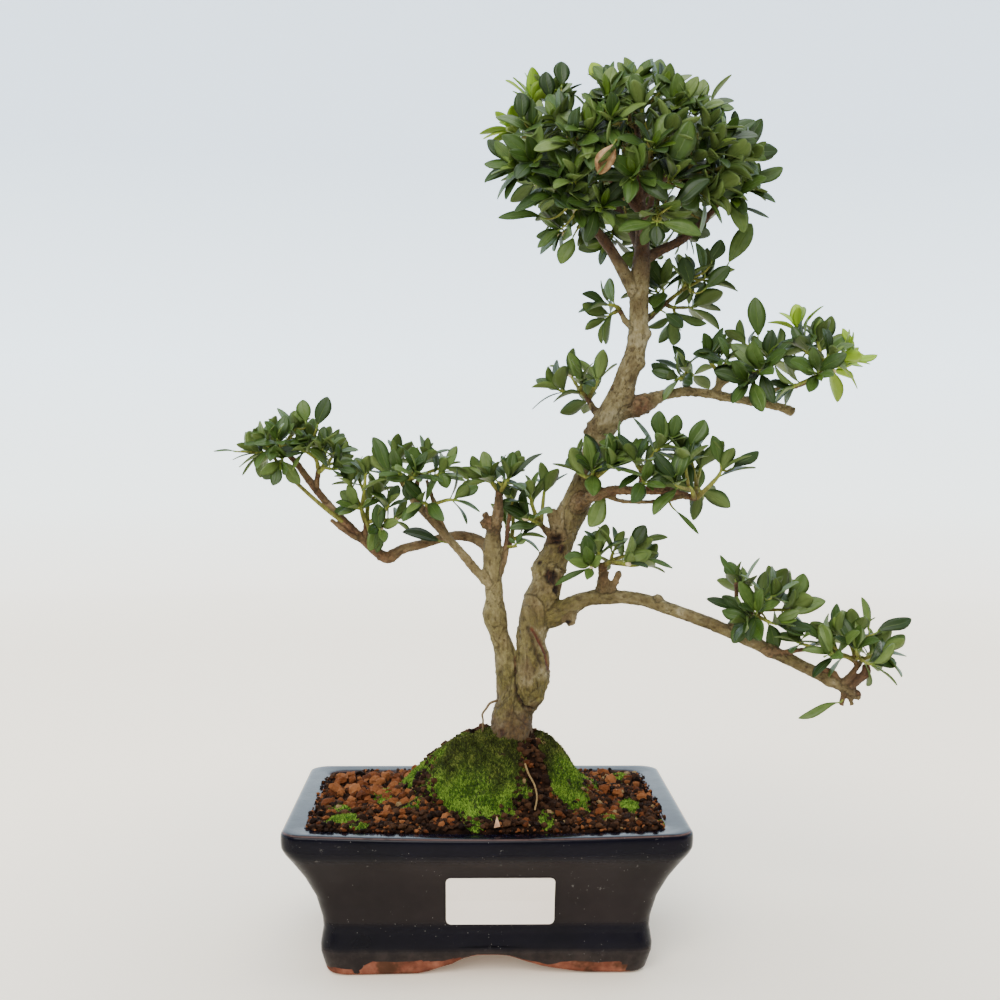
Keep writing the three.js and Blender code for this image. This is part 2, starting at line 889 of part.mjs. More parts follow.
function onBareSoil(x, y, size) {
  const roomX = POT_LENGTH / 2 - RIM_WIDTH - size - 1;
  const roomY = POT_DEPTH / 2 - RIM_WIDTH - size - 1;
  if (Math.abs(x) > roomX || Math.abs(y) > roomY) return false;
  return Object.values(MOSS).every((mat) => {
    const apart = Math.hypot((x - mat.x) / (mat.halfX + size), (y - mat.y) / (mat.halfY + size));
    return apart > 1.2;
  });
}

function soil() {
  const ring = (inset, z, scale) =>
    roundedRect(POT_LENGTH / 2 - inset - GAP, POT_DEPTH / 2 - inset - GAP, POT_CORNER, z, 2, 4, 2).map(
      (point) => new THREE.Vector3(point.x * scale, point.y * scale, point.z),
    );
  const sides = SOIL_LEVELS.map((z) => ring(valueAt(POT_INSIDE, z), z, 1));
  const top = SOIL_RINGS.map((scale) =>
    ring(RIM_WIDTH + SOIL_WALL_GAP, 0, scale).map((point) => point.setZ(soilHeight(point.x, point.y))),
  );
  return loft([...sides, ...top]);
}

// a low mat that lies on the soil; its underside is cut to the soil's own shape
function moss(mat, ground, trunkHole) {
  const random = randomFrom(mat.seed);
  const edge = [];
  for (let i = 0; i < mat.around; i++) edge.push(0.86 + 0.28 * random());
  const ring = (scale, lift, bump) =>
    edge.map((reach, i) => {
      const angle = (i / mat.around) * 2 * Math.PI;
      const x = mat.x + mat.halfX * scale * (scale * reach + 1 - scale) * Math.cos(angle);
      const y = mat.y + mat.halfY * scale * (scale * reach + 1 - scale) * Math.sin(angle);
      return new THREE.Vector3(x, y, soilHeight(x, y) + lift + bump * (2 * random() - 1));
    });
  const shoulder = ring(0.94, mat.thick * 0.75, mat.bump * 0.5);
  const rings = [ring(0.97, MOSS_ROOT, 0), ring(1, MOSS_EDGE, 0), shoulder];
  for (let i = 1; i <= mat.rings; i++) {
    rings.push(ring(0.86 * (1 - i / (mat.rings + 0.4)) + 0.02, mat.thick, mat.bump));
  }
  const bulk = loft(rings).subtract(ground.translate([0, 0, GAP])).subtract(trunkHole);
  return largest(bulk);
}

function largest(shape) {
  return shape.decompose().sort((a, b) => b.volume() - a.volume())[0];
}

// a splinter of wood standing on the soil's front edge
function splinter() {
  const { x, y, height, width, thick, lean, turn } = SPLINTER;
  const outline = new THREE.Shape([
    new THREE.Vector2(-width / 2, 0),
    new THREE.Vector2(width / 2, 0.4),
    new THREE.Vector2(0.2, height),
  ]);
  const geometry = new THREE.ExtrudeGeometry(outline, { depth: thick, bevelEnabled: false });
  geometry.rotateX(lean).rotateZ(turn).translate(x, y, POT_HEIGHT + GAP);
  return solidOf(geometry);
}

// Wood

function woodLimb(name, grow = 0) {
  const route = WOOD[name];
  const sides = route[0][3] < SLIM_RADIUS ? SLIM_SIDES : BRANCH_SIDES;
  return limb(route, TRUNK_SIDES[name] ?? sides, grow);
}

function branchEnd(name) {
  const route = WOOD[name];
  const curve = new THREE.CatmullRomCurve3(route.map(vector), false, "centripetal");
  return { at: curve.getPoint(1), along: curve.getTangent(1), radius: route[route.length - 1][3] };
}

// Shoots and leaves

function bend(from, control, to, t) {
  const a = from.clone().multiplyScalar((1 - t) ** 2);
  return a.addScaledVector(control, 2 * t * (1 - t)).addScaledVector(to, t * t);
}

function middleOf(points) {
  return points.reduce((sum, point) => sum.add(point), new THREE.Vector3()).divideScalar(points.length);
}

// Shoot ends in up to three bunches: each round one of three ends that lie far apart.
function bunches(tips) {
  const far = (from) => tips.reduce((best, tip) => (from(tip) > from(best) ? tip : best));
  const middle = middleOf(tips);
  const first = far((tip) => tip.distanceTo(middle));
  const second = far((tip) => tip.distanceTo(first));
  const third = far((tip) => Math.min(tip.distanceTo(first), tip.distanceTo(second)));
  let centres = [first, second, third];
  let groups = [];
  for (let round = 0; round < BUNCH_ROUNDS; round++) {
    groups = centres.map(() => []);
    for (const tip of tips) {
      const apart = centres.map((centre) => centre.distanceTo(tip));
      groups[apart.indexOf(Math.min(...apart))].push(tip);
    }
    groups = groups.filter((group) => group.length);
    centres = groups.map(middleOf);
  }
  return groups;
}

// A spray branches where its shoots were cut: each fork carries up to four shoots, and so on to the tips.
function forks(from, tips) {
  const groups = tips.length <= MOST_SHOOTS ? tips.map((tip) => [tip]) : bunches(tips);
  return groups.map((group) => {
    if (group.length === 1) return { at: group[0], carries: 1, onward: [] };
    const at = from.clone().lerp(middleOf(group), FORK_PLACE);
    return { at, carries: group.length, onward: forks(at, group) };
  });
}

// The places on a shoot's last stretch that something can grow from: its three sides, then its end.
function slotsOf(rings) {
  const [low, high] = rings.slice(-2);
  const axis = middleOf(high).sub(middleOf(low)).normalize();
  const centre = middleOf([...low, ...high]);
  const sides = low.map((_, i) => {
    const next = (i + 1) % 3;
    const at = middleOf([low[i], low[next], high[next], high[i]]);
    const outward = at.clone().sub(centre);
    outward.addScaledVector(axis, -outward.dot(axis)).normalize();
    const heading = outward.clone().addScaledVector(axis, 0.5).normalize();
    return { at, outward, heading, left: low[i].clone().sub(low[next]) };
  });
  const end = middleOf(high);
  return [...sides, { at: end, outward: axis, heading: axis, left: high[0].clone().sub(end) }];
}

// Which slot each onward shoot takes, so that every shoot leaves the way it is going.
function takeSlots(slots, shoots) {
  const taken = new Array(slots.length).fill(null);
  const pairs = shoots.flatMap((shoot) =>
    slots.map((slot, i) => {
      const direction = shoot.at.clone().sub(slot.at).normalize();
      return { shoot, i, match: direction.dot(slot.heading) };
    }),
  );
  pairs.sort((a, b) => b.match - a.match);
  for (const { shoot, i } of pairs) {
    if (!taken[i] && !taken.includes(shoot)) taken[i] = shoot;
  }
  return taken;
}

function shootRoute(slot, shoot, bow) {
  const length = slot.at.distanceTo(shoot.at);
  const control = slot.at.clone().addScaledVector(slot.heading, SHOOT_BOW * length).add(bow);
  const thick = Math.min(SHOOT_MOST_RADIUS, SHOOT_RADIUS + SHOOT_SWELL * (shoot.carries - 1));
  const at = (t) => bend(slot.at, control, shoot.at, t);
  const fork = at(Math.max(0.5, 1 - FORK_LENGTH / length));
  const route = [
    [...slot.at, thick],
    [...fork, thick],
    [...shoot.at, thick],
  ];
  if (length > LONG_SHOOT) route.splice(1, 0, [...at(0.4), thick]);
  return route;
}

// The leaves round a shoot's end, each with its root, its direction and the way its upper face looks.
function leavesOf(route, random) {
  const [from, tip] = route.slice(-2).map(vector);
  const axis = tip.clone().sub(from).normalize();
  axis.addScaledVector(UP, LEAF_LIFT.axis).normalize();
  const side = new THREE.Vector3().crossVectors(axis, new THREE.Vector3(0.3, 1, 0.2)).normalize();
  const other = new THREE.Vector3().crossVectors(axis, side);
  const start = random() * 2 * Math.PI;
  const leaves = [];
  for (let k = 0; k < LEAVES_A_SHOOT; k++) {
    const turn = start + k * GOLDEN_ANGLE + 0.5 * (random() - 0.5);
    const spread = LEAF_SPREAD.first + LEAF_SPREAD.more * k + LEAF_SPREAD.vary * (random() - 0.5);
    const grown = LEAF_GROWTH.first + LEAF_GROWTH.more * k + LEAF_GROWTH.vary * (random() - 0.5);
    const size = LEAF_LENGTH * grown;
    const outward = side.clone().multiplyScalar(Math.cos(turn)).addScaledVector(other, Math.sin(turn));
    const along = axis.clone().multiplyScalar(Math.cos(spread)).addScaledVector(outward, Math.sin(spread));
    along.addScaledVector(UP, LEAF_LIFT.blade).normalize();
    const face = axis.clone().addScaledVector(UP, LEAF_LIFT.face);
    face.addScaledVector(along, -face.dot(along)).normalize();
    leaves.push({ along, face, length: size, width: size * (LEAF_WIDTH / LEAF_LENGTH) });
  }
  return leaves;
}

// A leaf's outline as rings of four points. Grown a little, it tests for room.
function leafRings({ root, along, face, length, width }, outline, grow = 0) {
  const across = new THREE.Vector3().crossVectors(face, along);
  const half = LEAF_THICKNESS / 2 + grow;
  const corners = [
    [-1, -1],
    [1, -1],
    [1, 1],
    [-1, 1],
  ];
  return outline.map(([part, out, rise]) =>
    corners.map(([side, layer]) =>
      root
        .clone()
        .addScaledVector(along, part * length)
        .addScaledVector(across, side * (out * width + grow))
        .addScaledVector(face, rise * length + layer * half),
    ),
  );
}

function roomFor(leaf, outline) {
  return loft(leafRings(leaf, outline, GAP));
}

// Everything placed so far, so that what grows next stays clear of it.
const placed = [];

function boundsOf(shape) {
  const { min, max } = shape.boundingBox();
  return new THREE.Box3(vector(min), vector(max));
}

function place(shape, node) {
  placed.push({ shape, node, box: boundsOf(shape) });
}

function crosses(shape, wanted) {
  const box = boundsOf(shape);
  return placed.some(
    (other) => wanted(other) && other.box.intersectsBox(box) && !other.shape.intersect(shape).isEmpty(),
  );
}

function isClear(whole, beyondRoot, node) {
  if (crosses(whole, (other) => other.node !== node)) return false;
  return !crosses(beyondRoot, (other) => other.node === node);
}

// A shoot that would run through anything is bowed another way, or left out with what it carries.
function growShoot(slot, shoot, node) {
  for (let i = 0; i < BOW_TRIES; i++) {
    const angle = i * GOLDEN_ANGLE;
    const push = i === 0 ? 0 : FIRST_BOW + MORE_BOW * i;
    const bow = new THREE.Vector3(Math.cos(angle), Math.sin(angle), 0.5).multiplyScalar(push);
    const route = shootRoute(slot, shoot, bow);
    const grown = limbRings(route, 3, GAP, slot.left);
    const [start, next] = route.map(vector);
    const skipped = Math.min(ROOT_ROOM_PART, ROOT_ROOM / start.distanceTo(next));
    const later = [...start.clone().lerp(next, skipped), route[0][3]];
    const beyond = limbRings([later, ...route.slice(1)], 3, GAP, slot.left);
    if (!isClear(loft(grown), loft(beyond), node)) continue;
    const rings = limbRings(route, 3, 0, slot.left).slice(1);
    return { route, rings, beyond: loft(beyond) };
  }
  return null;
}

function growOnward(shoot, onward, node) {
  const slots = slotsOf(shoot.rings);
  shoot.slots = slots;
  shoot.grown = takeSlots(slots, onward).map((next, i) => {
    if (!next) return null;
    const child = growShoot(slots[i], next, node);
    if (!child) return null;
    place(child.beyond, node);
    return growOnward(child, next.onward, node);
  });
  return shoot;
}

// For each side of a shoot that ends in leaves, the leaf that points that way and has room.
function growLeaves(shoot, random, node) {
  const leaves = leavesOf(shoot.route, random);
  const used = new Set();
  const isFork = shoot.grown.some((child) => child);
  shoot.leaves = shoot.slots.slice(0, 3).map((slot) => {
    if (isFork) return null;
    const facing = leaves
      .map((leaf, k) => ({ leaf, k, match: leaf.along.dot(slot.outward) }))
      .filter(({ k, match }) => !used.has(k) && match > LEAF_MATCH)
      .sort((a, b) => b.match - a.match);
    for (const { leaf, k } of facing) {
      const moved = { ...leaf, root: slot.at };
      const beyond = roomFor(moved, LEAF_BEYOND_ROOT);
      if (!isClear(roomFor(moved, LEAF_ROOM), beyond, node)) continue;
      used.add(k);
      place(beyond, node);
      return moved;
    }
    return null;
  });
  shoot.grown.forEach((child) => child && growLeaves(child, random, node));
}

// The skin of a shoot with all that it carries, added from the corners that it grows out of.
function addSkin(skin, shoot, root) {
  const addRing = (corners) => corners.map((corner) => skin.points.push(corner) - 1);
  const addBand = (low, high) => {
    if (low.length === 4 && high.length === 3) {
      const [a, b, c, d] = low;
      const [p, q, r] = high;
      skin.index.push(a, b, q, a, q, p, b, c, r, b, r, q, c, d, p, c, p, r, d, a, p);
      return;
    }
    low.forEach((a, k) => {
      const next = (k + 1) % low.length;
      skin.index.push(a, low[next], high[next], a, high[next], high[k]);
    });
  };
  let low = root;
  const rings = shoot.rings.map(addRing);
  rings.slice(0, -1).forEach((ring) => {
    if (low) addBand(low, ring);
    low = ring;
  });
  const high = rings[rings.length - 1];
  low.forEach((a, k) => {
    const next = (k + 1) % 3;
    const corners = [a, low[next], high[next], high[k]];
    const leaf = shoot.leaves[k];
    if (shoot.grown[k]) {
      addSkin(skin, shoot.grown[k], corners);
    } else if (leaf) {
      const last = leafRings(leaf, LEAF_OUTLINE).reduce((from, ring) => {
        const onward = addRing(ring);
        addBand(from, onward);
        return onward;
      }, corners);
      const [tip] = addRing([leaf.root.clone().addScaledVector(leaf.along, leaf.length)]);
      last.forEach((from, i) => skin.index.push(from, last[(i + 1) % 4], tip));
    } else {
      skin.index.push(corners[0], corners[1], corners[2], corners[0], corners[2], corners[3]);
    }
  });
  if (shoot.grown[3]) addSkin(skin, shoot.grown[3], high);
  else skin.index.push(...high);
}

function spray(name, branch, tips, seed) {
  const random = randomFrom(seed);
  const { at, along, radius } = branchEnd(branch);
  const onStem = (distance, part) => [...at.clone().addScaledVector(along, distance), part * radius];
  const route = [onStem(GAP, 1), onStem(STEM - FORK_LENGTH, 1), onStem(STEM, 0.9)];
  const rings = limbRings(route, 3);
  place(loft(rings), name);
  const stem = growOnward({ route, rings }, forks(vector(route[2]), tips.map(vector)), name);
  growLeaves(stem, random, name);
  const skin = { points: [], index: [0, 2, 1] };
  addSkin(skin, stem, null);
  const geometry = new THREE.BufferGeometry().setFromPoints(skin.points);
  geometry.setIndex(skin.index);
  return solidOf(geometry);
}

function crownTips() {
  const onDome = (x, z, depth) => {
    const out = 1 - ((x - CROWN.x) / CROWN.halfX) ** 2 - ((z - CROWN.z) / CROWN.halfZ) ** 2;
    return [x, CROWN.y + depth * Math.sqrt(Math.max(out, 0)), z];
  };
  const front = CROWN_FRONT_TIPS.map(([x, z]) => onDome(x, z, -CROWN.front));
  const back = [];
  for (let i = 0; i < CROWN_BACK_TIPS; i++) {
    const out = Math.sqrt((i + 0.5) / CROWN_BACK_TIPS);
    const angle = i * GOLDEN_ANGLE;
    const x = CROWN.x + CROWN_BACK.halfX * out * Math.cos(angle);
    const z = CROWN.z + CROWN_BACK.halfZ * out * Math.sin(angle);
    back.push(onDome(x, z, CROWN.back));
  }
  return [...front, ...CROWN_MIDDLE_TIPS, ...back];
}

function crownSprays() {
  const sprays = Object.fromEntries(
    Object.entries(CROWN_BRANCHES).map(([name, branch]) => [name, { on: branch, tips: [] }]),
  );
  for (const tip of crownTips()) {
    const nearest = Object.values(sprays).reduce((best, candidate) => {
      const apart = ({ on }) => branchEnd(on).at.distanceTo(vector(tip));
      return apart(candidate) < apart(best) ? candidate : best;
    });
    nearest.tips.push(tip);
  }
  return sprays;
}

// Put together

const bonsai = new THREE.Group();

const trunkHole = woodLimb("base", ROOT_CLEARANCE);
const socket = trunkHole.add(trunkHole.translate([0, 0, -ROOT_CLEARANCE]));
const screens = drainPlaces().map(screen);
const screenRooms = drainPlaces().map((x) => {
  const room = new THREE.BoxGeometry(
    SCREEN_SIZE + 2 * GAP,
    SCREEN_SIZE + 2 * GAP,
    2 * (SCREEN_THICKNESS + 2 * GAP),
  );
  return solidOf(room.translate(x, 0, FLOOR_TOP));
});
const ground = joined([soil(), ...grains()]);

bonsai.add(piece("pot", pot(), "glaze"));
bonsai.add(piece("screen_left", screens[0], "screen"));
bonsai.add(piece("screen_right", screens[1], "screen"));
bonsai.add(piece("label", label(), "paper"));
bonsai.add(piece("soil", largest(ground.subtract(joined([socket, ...screenRooms]))), "soil"));
for (const [name, mat] of Object.entries(MOSS)) {
  bonsai.add(piece(name, moss(mat, ground, socket), "moss"));
}
bonsai.add(piece("splinter", splinter(), "splinter"));

const limbs = Object.keys(WOOD).map((name) => woodLimb(name));
limbs.forEach((shape) => place(shape, "trunk"));
bonsai.add(piece("trunk", joined(limbs), "bark"));

let seed = 101;
for (const [name, { on, tips }] of Object.entries({ ...SPRAYS, ...crownSprays() })) {
  bonsai.add(piece("spray_" + name, spray(name, on, tips, seed), "leaf"));
  seed += 37;
}

// the part's origin: the middle of its outline seen from above, on the surface that it stands on
const outline = new THREE.Box3().setFromObject(bonsai);
const middle = outline.getCenter(new THREE.Vector3());
bonsai.position.set(-middle.x, -middle.y, -outline.min.z);

export default bonsai;
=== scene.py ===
"""The looks of the japanese holly bonsai: leaves, bark, moss, soil, glaze, light and camera."""

import math

import bmesh
import bpy
import numpy as np
from mathutils import Matrix, Vector, kdtree, noise


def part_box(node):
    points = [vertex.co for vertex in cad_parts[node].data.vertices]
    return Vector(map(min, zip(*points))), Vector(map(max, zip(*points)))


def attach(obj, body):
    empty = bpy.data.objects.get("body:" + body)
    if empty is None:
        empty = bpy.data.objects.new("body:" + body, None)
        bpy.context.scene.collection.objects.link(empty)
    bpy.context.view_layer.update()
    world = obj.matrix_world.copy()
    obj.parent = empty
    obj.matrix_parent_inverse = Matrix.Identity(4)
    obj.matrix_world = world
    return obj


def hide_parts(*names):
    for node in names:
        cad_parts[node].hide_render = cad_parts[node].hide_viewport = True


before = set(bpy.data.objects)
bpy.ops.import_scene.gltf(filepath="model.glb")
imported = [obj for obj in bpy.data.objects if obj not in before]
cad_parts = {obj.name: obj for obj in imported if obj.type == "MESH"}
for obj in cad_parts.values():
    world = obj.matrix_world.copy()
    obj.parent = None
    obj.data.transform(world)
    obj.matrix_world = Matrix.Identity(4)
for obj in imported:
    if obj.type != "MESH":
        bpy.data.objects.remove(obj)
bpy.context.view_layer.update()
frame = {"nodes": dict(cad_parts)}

MM = 0.001
GOLDEN_ANGLE = math.pi * (3 - math.sqrt(5))
# turns for random draws, which need not be exact
WHOLE_TURN = 6.28
THIRD_TURN = 2.094
UP = np.array([0.0, 0.0, 1.0])

# Lengths are in millimetres from the middle of the pot, as in the solid model; mesh_object turns them into
# metres.
pot_low, pot_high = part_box("pot")
POT_PLACE = np.array([(pot_low.x + pot_high.x) / 2, (pot_low.y + pot_high.y) / 2, 0.0]) / MM

# Pot
POT_LENGTH = 190
POT_DEPTH = 135.4
POT_HEIGHT = 72.9
POT_CORNER = 9
# points along the long and the short sides of each ring of the pot and the soil
LONG_STEPS = 44
SHORT_STEPS = 30
RIM_WIDTH = 12
FLOOR_UNDERSIDE = 10.5
FLOOR_TOP = 16
POT_WALL = [
    (0, 20), (1.2, 18.4), (5, 17.2), (10.5, 15.6), (14, 15.4), (18, 16), (22, 16.6), (27, 16.2),
    (38, 13.4), (48.7, 8.9), (57, 4.3), (62, 1.2), (65, 0), (71.4, 0), (72.5, 0.5), (72.9, 1.5),
]
POT_INSIDE = [(16, 26), (20, 24), (38, 20.5), (48.7, 16.5), (60, 12.8), (73.9, 12)]
ARCH = [(0, 10), (8, 9.8), (15, 8), (25, 5.8), (38, 4.2), (50, 0.4), (54, 0)]
SIDE_ARCH = [(0.55 * along, rise) for along, rise in ARCH]
# the arch in the front is not quite the same on both sides
ARCH_FRONT = [
    (-95, 0), (-34, 0), (-28, 1.6), (-23.4, 3.2), (-16.7, 5.2), (-11.3, 8.2), (-5, 9.9), (0, 10), (6, 10),
    (11.5, 9.2), (17, 7), (25, 4.4), (30.4, 3.2), (37, 2.1), (43.8, 1), (50, 0.2), (95, 0),
]
# how high over the table the glaze ends along the front
GLAZE_EDGE = [
    (-80, 3.2), (-76, 3.6), (-67, 4.2), (-65.5, 3.6), (-64, 1.4), (-61.5, 1.4), (-59.5, 5), (-55, 7.4),
    (-40, 7.2), (-22, 7.4), (-12, 8.8), (0, 10.4), (12, 9.2), (22, 6.8), (27, 5.4), (31, 5.0), (33.5, 6.2),
    (36, 6.9), (50, 6.6), (65, 6.4), (67, 4), (68.5, 0.2), (80, 0.2),
]
DRAIN_PLACES = (-38, 38)
DRAIN_RADIUS = 8
# the front of the rim sags and bows out a little in the middle
RIM_SAG = 1.8
RIM_BOW = 1.2
# the pot is a little longer than its solid towards the rim, as far as the picture shows
POT_STRETCH = [(0, 1.008), (38, 1.008), (60, 1.02), (73, 1.026)]

# Soil and moss
SOIL_EDGE = 72
MOUND = {"x": 3, "y": 3, "left": 57, "right": 50, "deep": 52, "height": 33}
SHOULDER = {"x": 37, "y": 4, "reach": 19, "height": 12}
SOIL_STRETCH = 1.02
# the soil's body: heights of its rings inside the pot, its gap to the wall, and steps in each corner
SOIL_RINGS = (16.3, 22, 38, 50, 60, 66)
SOIL_GAP = 0.3
SOIL_CORNER_STEPS = 5
# where the trunk stands on the soil, and how far clay grains and crumbs keep from there
TRUNK_X = 11
CLAY_CLEAR = 15
CRUMBS_CLEAR = 11
# grains of baked clay: middle and half sizes of the patch, how many, smallest and largest radius, seed
CLAY = [
    (-58, 16, 24, 36, 110, 1.4, 3.9, 11),
    (-40, -20, 18, 20, 30, 1.2, 3.0, 31),
    (68, 6, 16, 42, 44, 1.3, 3.4, 23),
    (-26, -42, 24, 12, 18, 1.2, 2.8, 37),
    (0, 47, 66, 8, 50, 1.4, 3.4, 53),
]
CRUMBS = 6400
# crumbs lying on the rim: middle and half sizes of the patch, and how many
SPILLED = [
    (-85.2, -6, 1.9, 48, 90), (85.4, 4, 2.0, 46, 80), (-56, -56, 28, 1.3, 60), (36, -56, 40, 1.2, 60),
    (0, 57, 76, 1.6, 60),
]
PALE_ROOT = [(19, -24, 96), (20.5, -27, 92), (23.5, -32, 87), (24.4, -36, 82), (23.2, -40, 77)]
# mats of moss: middle, half sizes, thickness, how many shoots, seed, how far the higher part has dried,
# and how far the mat runs to the right towards the front
MOSS = {
    "moss_front": (-5, -18.5, 26, 30.5, 4.2, 28000, 5, 1.0, 0.14),
    "moss_right": (39, -7, 12.5, 24, 3.4, 9600, 17, 1.2, 0.3),
    "moss_left": (-37, 6, 8, 14, 2.6, 3000, 29, 0.45, 0.0),
    "moss_corner": (-70, -40, 9, 8, 2.4, 1900, 41, 0.45, 0.0),
    "moss_side": (72, -18, 6, 16, 2.6, 2200, 47, 0.45, 0.0),
}
# above about this height moss dries
DRY_ABOVE = 92
# a shoot of moss is a slim pyramid
SHOOT_FACES = [(0, 2, 1), (0, 1, 3), (1, 2, 3), (2, 0, 3)]
# loose tufts between the mats, as far as the seed in the same terms; they share how far they have dried
TUFT_DRYING = 0.5
TUFTS = [
    (-52, -6, 6, 11, 2.4, 1300, 61), (-74, -22, 7, 8, 2.2, 1100, 62), (-37, -27, 6, 8, 2.4, 900, 63),
    (-25, -1, 8, 10, 2.4, 1500, 64), (28.5, -45, 4, 8, 2.2, 700, 65), (74, 40, 4, 10, 2.2, 700, 66),
    (85, -42, 2.4, 4, 1.6, 240, 67), (52, 4, 6, 12, 2.6, 1200, 68), (-12, 40, 14, 8, 2.4, 1600, 69),
    (-62, -52, 5, 3.4, 1.8, 400, 70), (60, -38, 5, 7, 2.0, 600, 71),
]

